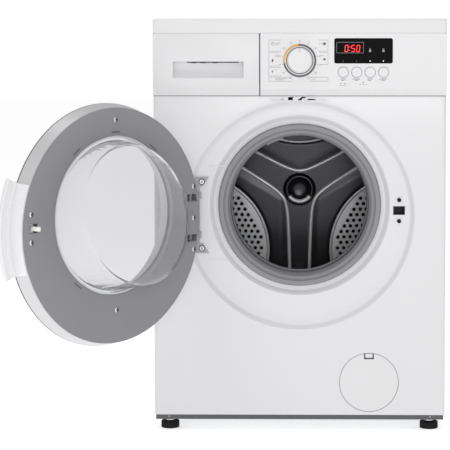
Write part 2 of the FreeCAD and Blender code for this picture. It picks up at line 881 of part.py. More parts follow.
def drawer_front():
    """Front of the detergent drawer, hollow behind, with a grip pocket."""
    left, right = -half_width, drawer_split_x - drawer_seam / 2
    shell = prism_x(fascia_outline(0, drawer_front_depth), left, right)
    hollow = prism_x(fascia_outline(fascia_wall, drawer_front_depth + 1),
                     left + fascia_wall, right - fascia_wall)
    pocket_floor = -fascia_proud + grip_depth
    well = box(grip_left - grip_wall, grip_right + grip_wall, -fascia_proud,
               pocket_floor + grip_wall, grip_bottom - grip_wall, grip_top + grip_wall)
    over = box(finger_left - grip_wall, finger_right + grip_wall,
               pocket_floor - finger_depth - grip_wall, pocket_floor + grip_wall,
               grip_top, grip_top + finger_height + grip_wall)
    pocket = box(grip_left, grip_right, -fascia_proud - 1, pocket_floor, grip_bottom, grip_top)
    finger = box(finger_left, finger_right, pocket_floor - finger_depth, pocket_floor,
                 grip_top - 1, grip_top + finger_height)
    return cut(fused([shell.cut(hollow), well, over]), [pocket, finger])


def drawer_tray():
    """Open tray with three compartments and a spout at its rear."""
    left = housing_left + housing_wall + tray_gap
    right = housing_right - housing_wall - tray_gap
    front = -fascia_proud + grip_depth + grip_wall
    rear = front + tray_depth
    tray = box(left, right, front, rear, tray_bottom, tray_bottom + tray_height)
    room = (right - left - (tray_cells + 1) * tray_wall) / tray_cells
    cells = []
    for i in range(tray_cells):
        x = left + tray_wall + i * (room + tray_wall)
        cells.append(box(x, x + room, front + tray_wall, rear - tray_wall,
                         tray_bottom + tray_wall, tray_bottom + tray_height + 1))
    return cut(tray, cells)


def dispenser_housing():
    """Box that the drawer slides into, with a neck for the hose to the tub."""
    rear = front_flange + housing_depth
    outer = box(housing_left, housing_right, front_flange, rear, housing_bottom, housing_top)
    inner = box(housing_left + housing_wall, housing_right - housing_wall, front_flange - 1,
                rear - housing_wall, housing_bottom + housing_wall, housing_top - housing_wall)
    x, depth = fill_neck_place()
    neck = rod_z(x, depth, fill_neck_radius, housing_bottom - fill_neck_length, housing_bottom)
    bore = rod_z(x, depth, fill_neck_radius - housing_wall, housing_bottom - fill_neck_length - 1,
                 housing_bottom + housing_wall + 1)
    return cut(fused([outer.cut(inner), neck]), [bore])


def fill_neck_place():
    middle = (housing_left + housing_right) / 2
    return middle + fill_neck_right, front_flange + housing_depth - fill_neck_ahead


def tub_inlet_top():
    """Height of the tub's inlet neck, just above the tub's wall there."""
    x, _ = fill_neck_place()
    nearest = abs(x) - fill_neck_radius
    return opening_z + math.sqrt(tub_outer ** 2 - nearest ** 2) + fill_neck_clear


def dispenser_hose():
    """Rubber bellows from the dispenser's neck to the tub's inlet."""
    x, depth = fill_neck_place()
    low = tub_inlet_top() - fill_hose_overlap
    high = housing_bottom - fill_neck_length + fill_hose_overlap
    outer = rod_z(x, depth, fill_neck_radius + hose_wall, low, high)
    outer = outer.cut(rod_z(x, depth, fill_neck_radius, low - 1, high + 1))
    return outer.cut(rod_y(0, opening_z, tub_outer, 0, cabinet_depth))


def inlet_valve():
    """Water valve on the rear panel, with its threaded spigot outside."""
    rear = rear_face - sheet
    half = inlet_body / 2
    body = box(inlet_x - half, inlet_x + half, rear - inlet_body, rear,
               inlet_z - half, inlet_z + half)
    root = rod_y(inlet_x, inlet_z, inlet_root_radius, rear, rear + spigot_root)
    spigot = rod_y(inlet_x, inlet_z, inlet_thread_radius, rear,
                   cabinet_depth + inlet_thread_length)
    bore = rod_y(inlet_x, inlet_z, inlet_thread_radius - 2 * housing_wall, rear + 1,
                 cabinet_depth + inlet_thread_length + 1)
    barb = rod_y(inlet_x, inlet_z, inlet_pipe_radius - hose_wall,
                 rear - inlet_body - barb_length, rear - inlet_body)
    return cut(fused([body, root, spigot, barb]), [bore])


def inlet_hose():
    """Inner hose from the valve to the top of the dispenser's rear wall."""
    rear = rear_face - sheet - inlet_body
    outer = rod_y(inlet_x, inlet_z, inlet_pipe_radius, front_flange + housing_depth, rear)
    return outer.cut(rod_y(inlet_x, inlet_z, inlet_pipe_radius - hose_wall, 0, rear + 1))


def mains_inlet():
    """Mains terminal box on the rear panel, with its cable gland."""
    rear = rear_face - sheet
    half = mains_size / 2
    body = box(mains_x - half, mains_x + half, rear - half, rear, mains_z - half, mains_z + half)
    gland = rod_y(mains_x, mains_z, mains_gland_radius, rear, cabinet_depth + mains_gland_length)
    bore = rod_y(mains_x, mains_z, mains_gland_radius / 2, rear - half + hose_wall,
                 cabinet_depth + mains_gland_length + 1)
    return cut(fused([body, gland]), [bore])


# ---------------------------------------------------------------------------------------------
# Door: every piece is made shut, then turned open
# ---------------------------------------------------------------------------------------------
def door_envelope(inset):
    """Solid of the round door's outside, made smaller all round by inset."""
    crown = edge_depth - door_crown
    return turned([(0, ring_back + 1), (door_ring_radius - inset, ring_back + 1),
                   (door_ring_radius - inset, ring_back),
                   (door_radius - inset, edge_depth + inset / 3),
                   (door_radius - inset, edge_depth - door_edge_land),
                   (door_radius - door_shoulder - inset / 2, edge_depth - door_shoulder + inset),
                   (glass_opening + door_dish, crown + inset), (0, crown + inset)], 0, door_z)


def hinge_arm_heights():
    return [door_z + side * hinge_arm_offset for side in (-1, 1)]


def hinge_slots():
    """Room in the door for the hinge's arms and barrels, over the whole swing."""
    tools = []
    half = hinge_arm_height / 2 + hinge_slot_gap
    for z in hinge_arm_heights():
        tools.append(box(-door_radius - 1, hinge_x + hinge_slot_reach,
                         edge_depth + hinge_slot_edge, 0, z - half, z + half))
        tools.append(rod_z(hinge_x, -hinge_ahead, hinge_barrel_radius + hinge_barrel_room,
                           z - half, z + half))
    return tools


def hinge_pin_spans():
    half = hinge_arm_height / 2 + hinge_slot_gap + hinge_lug
    return [(z - half, z + half) for z in hinge_arm_heights()]


def catch_window(d0, d1):
    """Slot in the door that the hook stands in."""
    half_w = catch_slot_width / 2 - hook_window_side
    half_h = catch_slot_height / 2 + hook_window_over
    return box(catch_x - half_w, catch_x + half_w, d0, d1, catch_z - half_h, catch_z + half_h)


def hook_pivot():
    return catch_x, ring_face - hook_pivot_depth


def hook_lugs():
    """Two lugs that hold the hook's pin, on a web from the door's skin."""
    x, depth = hook_pivot()
    near = hook_thickness / 2 + hook_lug_gap
    far = near + hook_lug_wall
    made = [box(x - hook_lug_half, x + hook_lug_half, edge_depth - door_crown,
                depth + hook_lug_wall, z0, z1)
            for z0, z1 in ((catch_z - far, catch_z - near), (catch_z + near, catch_z + far))]
    return [lug.common(door_envelope(door_skin / 2)) for lug in made]


def door_screw_places():
    """Screws of the inner ring: three by the hinge, two by the hook, one above, one below."""
    hinge_side = [(ring_screw_hinge_x, door_z + side * ring_screw_hinge_offset)
                  for side in (-1, 0, 1)]
    catch_side = [(ring_screw_catch_x, catch_z + side * ring_screw_catch_offset)
                  for side in (-1, 1)]
    ends = [(0.0, opening_z + side * ring_screw_reach) for side in (-1, 1)]
    return hinge_side + catch_side + ends


def door_frame():
    """Outer shell of the door, with the seat of the glass, screw bosses and hinge lugs."""
    crown = edge_depth - door_crown
    outside = door_envelope(0)
    shell = outside.cut(door_envelope(door_skin))
    shell = shell.cut(rod_y(0, door_z, door_ring_radius + ring_rim, ring_back, 0))
    seat_end = ring_back - glass_flange_thickness
    hole_radius = glass_opening + glass_hole_gap
    seat = tube_y(0, opening_z, glass_opening + glass_flange, hole_radius, crown, seat_end)
    hole = rod_y(0, opening_z, hole_radius, crown - 1, 0)
    bosses = [rod_y(x, z, door_boss_radius, crown, ring_back).common(outside)
              for x, z in door_screw_places()]
    lugs = []
    half = hinge_arm_height / 2 + hinge_slot_gap
    for z in hinge_arm_heights():
        for z0, z1 in ((z - half - hinge_lug, z - half), (z + half, z + half + hinge_lug)):
            lug = box(hinge_x - hinge_lug_out, hinge_x + hinge_lug_in, crown,
                      -hinge_ahead + hinge_lug_in, z0, z1)
            lugs.append(lug.common(outside))
    body = fused([shell.cut(hole), seat.common(outside)] + bosses + lugs + hook_lugs())
    body = cut(body, [hole] + hinge_slots())
    px, pd = hook_pivot()
    pins = [rod_z(hinge_x, -hinge_ahead, hinge_pin_radius, z0, z1) for z0, z1 in hinge_pin_spans()]
    pins.append(rod_z(px, pd, hook_pin_radius, *hook_pin_span()))
    pilots = [rod_y(x, z, door_screw_radius, ring_back - door_screw_length, ring_back + 1)
              for x, z in door_screw_places()]
    ring_room = rod_y(0, door_z, door_ring_radius + ring_rim, ring_back, 0)
    return cut(body, pins + pilots + [ring_room])


def hook_pin_span():
    reach = hook_thickness / 2 + hook_lug_gap + hook_lug_wall
    return catch_z - reach, catch_z + reach


def door_inner_ring():
    """Flat ring that faces the machine when the door is shut."""
    ring = rod_y(0, door_z, door_ring_radius, ring_back, ring_face)
    holes = [rod_y(0, opening_z, glass_opening, ring_back - 1, 1),
             catch_window(ring_back - 1, 1)]
    for x, z in door_screw_places():
        holes.append(rod_y(x, z, door_screw_hole, ring_back + 1, 1))
        holes.append(rod_y(x, z, door_screw_radius, ring_back - 1, 1))
    return cut(ring, holes + hinge_slots())


def door_screws():
    return Part.makeCompound([door_screw(x, z) for x, z in door_screw_places()])


def door_screw(x, z):
    """Countersunk in the ring and driven from the machine's side."""
    head = rod_y(x, z, door_screw_head, ring_back + 1, ring_face - door_screw_sink)
    shank = rod_y(x, z, door_screw_radius, ring_back - door_screw_length, ring_back + 1)
    recess = rod_y(x, z, door_screw_head / 3, ring_face - door_screw_recess, ring_face)
    return fused([head.cut(recess), shank])


def glass_end(z, inset):
    """Depth of the bowl's slanted end at a height."""
    return glass_depth - inset - glass_slant * (z - opening_z)


def glass_deep_radius(deep):
    """Outer radius of the bowl's cone at a depth."""
    taper = (glass_root_radius - glass_end_radius) / (glass_taper_depth - ring_back)
    return glass_root_radius - taper * (deep - ring_back)


def glass_cone(inset):
    """Solid bowl whose end is cut off on the slant."""
    deep = 2 * glass_depth
    cone = Part.makeCone(glass_root_radius - inset, glass_deep_radius(deep) - inset, deep - ring_back,
                         V(0, front_y + ring_back, opening_z), V(0, 1, 0))
    low, high = opening_z - glass_opening, opening_z + glass_opening
    beyond = prism_x([(glass_end(low, inset), low), (glass_end(high, inset), high),
                      (2 * deep, high), (2 * deep, low)], -glass_opening, glass_opening)
    return cone.cut(beyond)


def door_glass():
    """Glass bowl with a flat flange that is clamped between frame and inner ring."""
    seat = ring_back - glass_flange_thickness
    flange = rod_y(0, opening_z, glass_opening + glass_flange, seat, ring_back)
    inner = glass_cone(glass_thickness)
    mouth = rod_y(0, opening_z, glass_root_radius - glass_thickness, seat - 1, ring_back)
    bowl = fused([flange, glass_cone(0)])
    return cut(bowl, [inner, mouth])


def door_handle():
    """Curved grip flange that stands out past the door's edge on the catch side."""
    outer = door_radius + handle_reach
    flange = sector(0, door_z, outer, door_radius, -handle_low_angle, handle_high_angle,
                    edge_depth - door_edge_land, edge_depth - door_edge_land + handle_thickness)
    lip = sector(0, door_z, outer, outer - handle_lip, -handle_low_angle, handle_high_angle,
                 edge_depth - door_edge_land, edge_depth - door_edge_land + handle_root)
    return fused([flange, lip])


def door_pins():
    """Two hinge pins and the hook's pin."""
    x, depth = hook_pivot()
    made = [rod_z(hinge_x, -hinge_ahead, hinge_pin_radius, z0, z1)
            for z0, z1 in hinge_pin_spans()]
    made.append(rod_z(x, depth, hook_pin_radius, *hook_pin_span()))
    return Part.makeCompound(made)


def door_hook():
    """Sprung hook on its own pin, with a pointed nose."""
    x, depth = hook_pivot()
    half = hook_shank / 2
    tip = ring_face + hook_reach
    z0, z1 = catch_z - hook_thickness / 2, catch_z + hook_thickness / 2
    barb = x - half - hook_nose
    outline = [(x - half, depth), (x - half, tip - hook_nose_length),
               (barb, tip - hook_nose_length + hook_nose_flat), (x - half, tip - 2 * hook_nose_flat),
               (x, tip), (x + half, tip - hook_tip_slope), (x + half, depth)]
    hub = rod_z(x, depth, hook_shank / 2 + hook_hub_wall, z0, z1)
    body = fused([prism_z(outline, z0, z1), hub])
    return body.cut(rod_z(x, depth, hook_pin_radius + pin_clearance, z0 - 1, z1 + 1))


def hinge_bracket():
    """Plate screwed to the recess floor, with two arms that reach the pivot."""
    face = recess_depth - hinge_plate
    reach = hinge_screw_offset + hinge_plate_end
    left = hinge_plate_x - hinge_plate_half_width
    right = hinge_plate_x + hinge_plate_half_width
    strip_right = left + hinge_strip_width
    inner = hinge_screw_offset - hinge_plate_end
    plates = [box(left, strip_right, face, recess_depth, door_z - reach, door_z + reach)]
    for side in (-1, 1):
        ends = [(left, door_z + side * reach), (right, door_z + side * reach),
                (strip_right + hinge_ear_inner, door_z + side * inner),
                (left, door_z + side * inner)]
        plates.append(prism_y(ends, face, recess_depth))
    room = rod_y(0, door_z, recess_radius - recess_slope - joint_gap, 0, recess_depth)
    plates = [plate.common(room) for plate in plates]
    arms = []
    for z in hinge_arm_heights():
        z0, z1 = z - hinge_arm_height / 2, z + hinge_arm_height / 2
        root_x, root_depth = left + hinge_arm_root, face + hinge_root_sink
        run_x, run_d = root_x - hinge_x, root_depth + hinge_ahead
        length = math.hypot(run_x, run_d)
        side_x = hinge_arm_thickness / 2 * run_d / length
        side_d = -hinge_arm_thickness / 2 * run_x / length
        bar = prism_z([(hinge_x - side_x, -hinge_ahead - side_d),
                       (hinge_x + side_x, -hinge_ahead + side_d),
                       (root_x + side_x, root_depth + side_d),
                       (root_x - side_x, root_depth - side_d)], z0, z1)
        foot = box(left, left + hinge_foot_width, face - hinge_foot_height,
                   face + hinge_root_sink, z0 - hinge_foot_over, z1 + hinge_foot_over)
        barrel = rod_z(hinge_x, -hinge_ahead, hinge_barrel_radius, z0, z1)
        arms += [bar, foot, barrel]
    body = fused(plates + arms)
    bores = [rod_z(hinge_x, -hinge_ahead, hinge_pin_radius + pin_clearance,
                   z - hinge_arm_height, z + hinge_arm_height) for z in hinge_arm_heights()]
    bores += [rod_y(x, z, screw_radius, face - 1, recess_depth + 1)
              for x, z in hinge_screw_places()]
    return cut(body, bores)


def door_lock():
    """Lock box behind the front panel, open to the hook's slot."""
    front = recess_depth + sheet
    half_w = catch_slot_width / 2 + lock_wall
    half_h = catch_screw_offset + lock_wall
    body = box(catch_x - half_w, catch_x + half_w, front, front + lock_depth,
               catch_z - half_h, catch_z + half_h)
    holes = [catch_slot(front - 1, front + lock_depth - hose_wall)]
    holes += [rod_y(x, z, screw_radius, front - 1, recess_depth + screw_length)
              for x, z in lock_screw_places()]
    return cut(body, holes)


# ---------------------------------------------------------------------------------------------
# Filter and drain
# ---------------------------------------------------------------------------------------------
def filter_flap():
    """Round flap in the front panel, with a finger notch at its top."""
    disc = rod_y(flap_x, flap_z, flap_radius - flap_gap, 0, flap_thickness)
    top = flap_z + flap_radius
    groove = box(flap_x - flap_notch_width / 2, flap_x + flap_notch_width / 2, -1,
                 flap_thickness / 2, top - flap_notch_height, top + 1)
    return disc.cut(groove)


def filter_cap():
    """Screw-in lint filter: cap, grip bar and strainer."""
    face = filter_face - filter_cap_thickness
    cap = rod_y(flap_x, filter_z, filter_cap_radius, face, filter_face)
    reach = filter_cap_radius - filter_grip_short
    grip = box(flap_x - reach, flap_x + reach, face - filter_grip, face,
               filter_z - filter_grip, filter_z + filter_grip)
    end = filter_face + filter_length - strainer_short
    strainer = tube_y(flap_x, filter_z, filter_bore - joint_gap, filter_bore - strainer_wall,
                      filter_face, end)
    slot = box(flap_x + filter_bore - 2 * strainer_wall, flap_x + filter_bore + 1,
               filter_face + strainer_slot_start, end - strainer_slot_end,
               filter_z - strainer_slot / 2, filter_z + strainer_slot / 2)
    slots = [spun(slot, flap_x, filter_z, 360.0 / strainer_slots * i)
             for i in range(strainer_slots)]
    return fused([cap, grip, cut(strainer, slots)])


def drain_pump():
    """Filter barrel, pump chamber and pump motor, standing on the base."""
    outer = filter_bore + filter_wall
    barrel = rod_y(flap_x, filter_z, outer, filter_face, pump_front)
    chamber = rod_y(flap_x, filter_z, pump_radius, pump_front, pump_front + pump_length)
    motor = rod_y(flap_x, filter_z, pump_motor_radius, pump_front + pump_length,
                  pump_front + pump_length + pump_motor_length)
    stand = box(flap_x - pump_stand_half, flap_x + pump_stand_half,
                filter_face + pump_stand_front, pump_front + pump_length - pump_stand_rear,
                panel_bottom, filter_z - pump_stand_top)
    port_x = flap_x - outer - pump_port_length
    drain_x = flap_x + pump_radius + pump_port_length
    inlet = rod_x(pump_port_depth, filter_z, pump_port_radius, port_x, flap_x)
    outlet = rod_x(drain_port_depth, filter_z, drain_port_radius, flap_x, drain_x)
    body = fused([barrel, chamber, motor, stand, inlet, outlet])
    bores = [rod_y(flap_x, filter_z, filter_bore, filter_face - 1, pump_front),
             rod_y(flap_x, filter_z, pump_radius - filter_wall, pump_front,
                   pump_front + pump_length - filter_wall),
             rod_x(pump_port_depth, filter_z, pump_port_radius - hose_wall,
                   port_x - 1, flap_x),
             rod_x(drain_port_depth, filter_z, drain_port_radius - hose_wall,
                   flap_x, drain_x + 1)]
    return cut(body, bores)


def sump_hose():
    """Rubber hose from the tub's sump down and forward to the filter barrel."""
    port_x = flap_x - filter_bore - filter_wall - pump_port_length
    end_x = port_x + hose_overlap
    route = [(sump_port_x, sump_port_depth, sump_port_bottom()),
             (sump_port_x, sump_port_depth, filter_z),
             (sump_port_x, pump_port_depth, filter_z),
             (end_x, pump_port_depth, filter_z)]
    outer = pump_port_radius + hose_wall
    tube = hose(route, sump_hose_bends, outer, hose_wall)
    return tube.cut(rod_x(pump_port_depth, filter_z, pump_port_radius, port_x, end_x))


def sump_floor():
    return opening_z - tub_outer - sump_depth


def sump_port_bottom():
    return sump_floor() - sump_port_length


def drain_hose():
    """Hose from the pump along the cabinet's side to the outlet at the rear."""
    port_end = flap_x + pump_radius + pump_port_length
    route = [(port_end - hose_overlap, drain_port_depth, filter_z),
             (outlet_x, drain_port_depth, filter_z),
             (outlet_x, rear_face - sheet, outlet_z)]
    outer = drain_port_radius + hose_wall
    tube = hose(route, [drain_hose_bend], outer, hose_wall)
    end = rear_face - sheet
    bore = outlet_radius - hose_wall
    spigot = tube_y(outlet_x, outlet_z, outlet_radius, bore, end, cabinet_depth + outlet_length)
    root = tube_y(outlet_x, outlet_z, outlet_root_radius, bore, end, end + spigot_root)
    return fused([tube, root, spigot])


# ---------------------------------------------------------------------------------------------
# Wash unit
# ---------------------------------------------------------------------------------------------
def tub_front_half():
    """Front half of the tub, with the neck that the gasket is clamped on."""
    wall = tube_y(0, opening_z, tub_outer, tub_inner, tub_front - tub_wall, tub_seam)
    neck_inner = tub_neck_outer - tub_neck_wall
    face = tube_y(0, opening_z, tub_outer, neck_inner, tub_front - tub_wall, tub_front)
    neck = tube_y(0, opening_z, tub_neck_outer, neck_inner,
                  tub_front - tub_wall - tub_neck_length, tub_front)
    flange = tube_y(0, opening_z, tub_outer + tub_seam_flange, tub_inner,
                    tub_seam - tub_seam_thickness, tub_seam)
    return cut(fused([wall, face, neck, flange]), tub_screw_holes())


def tub_screw_places():
    radius = tub_outer + tub_seam_flange / 2
    step = 360.0 / tub_screw_count
    return [polar(0, opening_z, radius, step * (i + 0.5)) for i in range(tub_screw_count)]


def tub_screw_holes():
    return [rod_y(x, z, tub_screw_radius, tub_seam - tub_screw_bore, tub_seam + tub_screw_bore)
            for x, z in tub_screw_places()]


def tub_screws():
    seat = tub_seam - tub_seam_thickness
    return Part.makeCompound([
        screw_y(x, z, seat, 2 * tub_seam_thickness, tub_screw_radius, tub_screw_head)
        for x, z in tub_screw_places()])


def tub_rear_half():
    """Rear half of the tub: bearing hub, ribs, sump, and the lugs it hangs from and stands on."""
    back = tub_rear + tub_rear_wall
    drum_room = rod_y(0, opening_z, tub_inner, tub_seam - 1, tub_rear)
    pieces = [tube_y(0, opening_z, tub_outer, tub_inner, tub_seam, back),
              rod_y(0, opening_z, tub_outer, tub_rear, back),
              tube_y(0, opening_z, tub_outer + tub_seam_flange, tub_inner,
                     tub_seam, tub_seam + tub_seam_thickness),
              rod_y(0, opening_z, hub_radius, tub_rear, hub_end)]
    rib = box(hub_radius - tub_hub_overlap, tub_outer - tub_hub_overlap, back - 1,
              back + tub_rib_height,
              opening_z - tub_rib_thickness / 2, opening_z + tub_rib_thickness / 2)
    pieces += [spun(rib, 0, opening_z, 360.0 / tub_rib_count * i) for i in range(tub_rib_count)]
    bottom = opening_z - tub_outer
    pieces.append(box(-sump_half_width, sump_half_width, sump_front, back,
                      sump_floor(), bottom + sump_overlap))
    pieces.append(rod_z(sump_port_x, sump_port_depth, pump_port_radius, sump_port_bottom(),
                        sump_floor()))
    motor_top = motor_z + motor_radius + motor_saddle
    for depth in motor_lug_depths():
        pieces.append(box(motor_x - motor_saddle_half, motor_x + motor_saddle_half,
                          depth - lug_thickness / 2, depth + lug_thickness / 2,
                          motor_top, bottom + motor_lug_overlap))
    for side in (-1, 1):
        x = side * damper_x
        pieces.append(box(x - damper_lug, x + damper_lug, damper_depth - damper_lug,
                          damper_depth + damper_lug, damper_lug_bottom(),
                          damper_lug_bottom() + damper_lug_height))
        for depth in spring_depths:
            edge = side * (spring_x + lug_half_width)
            root = side * math.sqrt(tub_inner ** 2 - spring_rise ** 2)
            pieces.append(box(min(edge, root), max(edge, root), depth - lug_thickness / 2,
                              depth + lug_thickness / 2, spring_bottom - spring_lug_height,
                              spring_bottom))
    x, depth = fill_neck_place()
    pieces.append(rod_z(x, depth, fill_neck_radius, opening_z + tub_outer / 2, tub_inlet_top()))
    body = fused(pieces).cut(drum_room)
    bores = tub_screw_holes() + hub_bores()
    bores.append(rod_z(x, depth, fill_neck_radius - tub_wall, opening_z, tub_inlet_top() + 1))
    bores.append(box(-sump_half_width + tub_wall, sump_half_width - tub_wall,
                     sump_front + tub_wall, tub_rear, sump_floor() + tub_wall, bottom + sump_cut))
    bores.append(rod_z(sump_port_x, sump_port_depth, pump_port_radius - tub_wall,
                       sump_port_bottom() - 1, sump_floor() + tub_wall + 1))
    plug = heater_spread + heater_plug
    bores.append(box(-plug, plug, tub_rear - 1, back + 1, heater_z() - heater_plug_half,
                     heater_z() + heater_plug_half))
    return cut(body, bores)


def motor_lug_depths():
    return motor_front + motor_lug_front, motor_rear - motor_lug_rear


def damper_lug_bottom():
    """Underside of the lugs that the damper rods carry."""
    return opening_z - math.sqrt(tub_outer ** 2 - damper_x ** 2) - damper_lug_drop


def hub_bores():
    """Stepped bore of the bearing hub: seal, front bearing, step, rear bearing."""
    front_seat = tub_rear + seal_width + bearing_width
    rear_seat = hub_end - bearing_width
    return [rod_y(0, opening_z, bearing_front_outer, tub_rear - 1, front_seat),
            rod_y(0, opening_z, hub_step, front_seat - 1, rear_seat + 1),
            rod_y(0, opening_z, bearing_rear_outer, rear_seat, hub_end + 1)]


def bearings():
    """Two ball bearings, and the lip seal ahead of them."""
    def race_pair(outer, inner, d0, d1):
        middle = (outer + inner) / 2
        body = tube_y(0, opening_z, outer, inner, d0, d1)
        groove = tube_y(0, opening_z, middle + 3, middle - 3, d0 - 1, d0 + bearing_groove)
        other = tube_y(0, opening_z, middle + 3, middle - 3, d1 - bearing_groove, d1 + 1)
        return cut(body, [groove, other])

    front = tub_rear + seal_width
    seal = tube_y(0, opening_z, bearing_front_outer, bearing_front_inner + joint_gap,
                  tub_rear, front)
    return Part.makeCompound([
        seal, race_pair(bearing_front_outer, bearing_front_inner, front, front + bearing_width),
        race_pair(bearing_rear_outer, bearing_rear_inner, hub_end - bearing_width, hub_end)])


def drum_shell():
    """Rolled drum wall with its front ring and rolled mouth."""
    inner = drum_radius - drum_sheet
    wall = tube_y(0, opening_z, drum_radius, inner, drum_front, drum_back + drum_sheet)
    face = tube_y(0, opening_z, drum_radius, drum_mouth, drum_front, drum_front + drum_sheet)
    mouth = tube_y(0, opening_z, drum_mouth + 2, drum_mouth, drum_front,
                   drum_front + drum_mouth_roll)
    return fused([wall, face, mouth])


def drum_back_wall():
    """Back of the drum, pressed round the hub."""
    inner = drum_radius - drum_sheet
    disc = rod_y(0, opening_z, inner, drum_back, drum_back + drum_sheet)
    cup = rod_y(0, opening_z, drum_cup_radius, drum_back - drum_cup_depth, drum_back)
    return fused([disc, cup])


def drum_lifters():
    """Paddles inside the drum wall that lift the laundry."""
    inner = drum_radius - drum_sheet
    foot = math.sqrt(inner ** 2 - (lifter_width / 2) ** 2)
    top = inner - lifter_height
    outline = [(foot, opening_z - lifter_width / 2), (foot, opening_z + lifter_width / 2),
               (top, opening_z + lifter_top_width / 2), (top, opening_z - lifter_top_width / 2)]
    lifter = prism_y(outline, drum_front + lifter_margin, drum_back - lifter_margin)
    lifter = rounded(lifter, lifter_round, lambda e: e.BoundBox.XMax < top + 0.1)
    return Part.makeCompound([spun(lifter, 0, opening_z, spider_arm_start + 360.0 / lifter_count * i)
                              for i in range(lifter_count)])


def drum_spider():
    """Cast three-arm spider behind the drum, with the stepped shaft through the bearings."""
    front = drum_back + drum_sheet
    back = front + spider_thickness
    hub = rod_y(0, opening_z, spider_hub_radius, front, back)
    arm = box(0, spider_arm_reach, front, back, opening_z - spider_arm_width / 2,
              opening_z + spider_arm_width / 2)
    arms = [spun(arm, 0, opening_z, spider_arm_start + 120 * i) for i in range(3)]
    step = tub_rear + seal_width + bearing_width
    thick = rod_y(0, opening_z, bearing_front_inner - pin_clearance, back - 1, step)
    thin = rod_y(0, opening_z, bearing_rear_inner - pin_clearance, step - 1, pulley_back)
    return fused([hub] + arms + [thick, thin])


def drum_pulley():
    """Spoked belt pulley on the end of the drum's shaft."""
    middle = (pulley_front + pulley_back) / 2
    rim = tube_y(0, opening_z, pulley_radius, pulley_radius - pulley_rim,
                 pulley_front, pulley_back)
    web = rod_y(0, opening_z, pulley_radius - 1, middle - pulley_web / 2, middle + pulley_web / 2)
    hub = rod_y(0, opening_z, pulley_hub_radius, pulley_front, pulley_back)
    shaft = rod_y(0, opening_z, bearing_rear_inner - pin_clearance, pulley_front - 1,
                  pulley_back + 1)
    ring = (pulley_radius - pulley_rim + pulley_hub_radius) / 2
    holes = []
    for i in range(pulley_hole_count):
        x, z = polar(0, opening_z, ring, 360.0 / pulley_hole_count * i)
        holes.append(rod_y(x, z, pulley_hole_radius, pulley_front - 1, pulley_back + 1))
    return cut(fused([cut(web, holes), rim, hub]), [shaft])


def motor_body():
    """Motor under the tub, on a saddle bolted to the tub's lugs."""
    body = rod_y(motor_x, motor_z, motor_radius, motor_front, motor_rear)
    saddles = [box(motor_x - motor_saddle_half, motor_x + motor_saddle_half,
                   depth - lug_thickness, depth + lug_thickness,
                   motor_z + motor_radius - motor_saddle_drop,
                   motor_z + motor_radius + motor_saddle)
               for depth in motor_lug_depths()]
    edge = motor_x + motor_radius
    slot = box(edge - motor_slot_depth, edge + motor_slot_depth, motor_front + motor_slot_margin,
               motor_rear - motor_slot_margin, motor_z - 2, motor_z + 2)
    cooling = [spun(slot, motor_x, motor_z, 180 + motor_slot_step * i)
               for i in range(motor_slot_count)]
    end = rod_y(motor_x, motor_z, motor_shaft_radius + pin_clearance,
                motor_rear - motor_shaft_bore, motor_rear + 1)
    return cut(fused([body] + saddles), cooling + [end])


def motor_rotor():
    """Motor shaft with its small grooved pulley."""
    shaft = rod_y(motor_x, motor_z, motor_shaft_radius,
                  motor_rear - motor_shaft_bore + 1, pulley_back)
    pulley = rod_y(motor_x, motor_z, motor_pulley_radius, pulley_front, pulley_back)
    return fused([shaft, pulley])


def belt_outline(extra, d0, d1):
    """Slab bounded by two pulley circles, grown by extra, and their common tangents."""
    big, small = pulley_radius + extra, motor_pulley_radius + extra
    along_x, along_z = motor_x, motor_z - opening_z
    distance = math.hypot(along_x, along_z)
    heading = math.degrees(math.atan2(along_z, along_x))
    spread = math.degrees(math.acos((big - small) / distance))
    a = polar(0, opening_z, big, heading + spread)
    b = polar(0, opening_z, big, heading + 180)
    c = polar(0, opening_z, big, heading - spread)
    d = polar(motor_x, motor_z, small, heading - spread)
    e = polar(motor_x, motor_z, small, heading)
    f = polar(motor_x, motor_z, small, heading + spread)
    a, b, c, d, e, f = [V(x, front_y + d0, z) for x, z in (a, b, c, d, e, f)]
    edges = [Part.Arc(a, b, c).toShape(), Part.LineSegment(c, d).toShape(),
             Part.Arc(d, e, f).toShape(), Part.LineSegment(f, a).toShape()]
    return Part.Face(Part.Wire(edges)).extrude(V(0, d1 - d0, 0))


def drive_belt():
    middle = (pulley_front + pulley_back) / 2
    d0, d1 = middle - belt_width / 2, middle + belt_width / 2
    outer = belt_outline(joint_gap + belt_thickness, d0, d1)
    return outer.cut(belt_outline(joint_gap, d0 - 1, d1 + 1))


def heater_z():
    return sump_floor() + tub_wall + heater_rise


def heater():
    """Looped heating element in the sump, on its sealing plate."""
    z = heater_z()
    rear = tub_rear + tub_rear_wall
    loop_front = tub_rear - heater_length
    side_x = heater_spread + heater_plate_side
    plug_x = heater_spread + heater_plug
    plate = box(-side_x, side_x, rear, rear + heater_plate, z - heater_plate_half,
                z + heater_plate_half)
    plug = box(-plug_x, plug_x, tub_rear, rear, z - heater_plug_half, z + heater_plug_half)
    legs = [rod_y(side * heater_spread, z, heater_rod, loop_front, tub_rear + 1)
            for side in (-1, 1)]
    nose = rod_x(loop_front, z, heater_rod, -heater_spread, heater_spread)
    tabs = [box(side * heater_spread - heater_tab_half, side * heater_spread + heater_tab_half,
                rear, rear + heater_tab_length, z - 1, z + 1) for side in (-1, 1)]
    return fused([plate, plug, nose] + legs + tabs)


def counterweight_top():
    """Heavy block saddled on top of the tub."""
    top = opening_z + tub_outer + top_weight_height
    block = box(top_weight_left, top_weight_right, top_weight_front, top_weight_rear,
                opening_z + tub_outer / 2, top)
    block = rounded(block, top_weight_round, is_upright)
    return block.cut(rod_y(0, opening_z, tub_outer, 0, cabinet_depth))


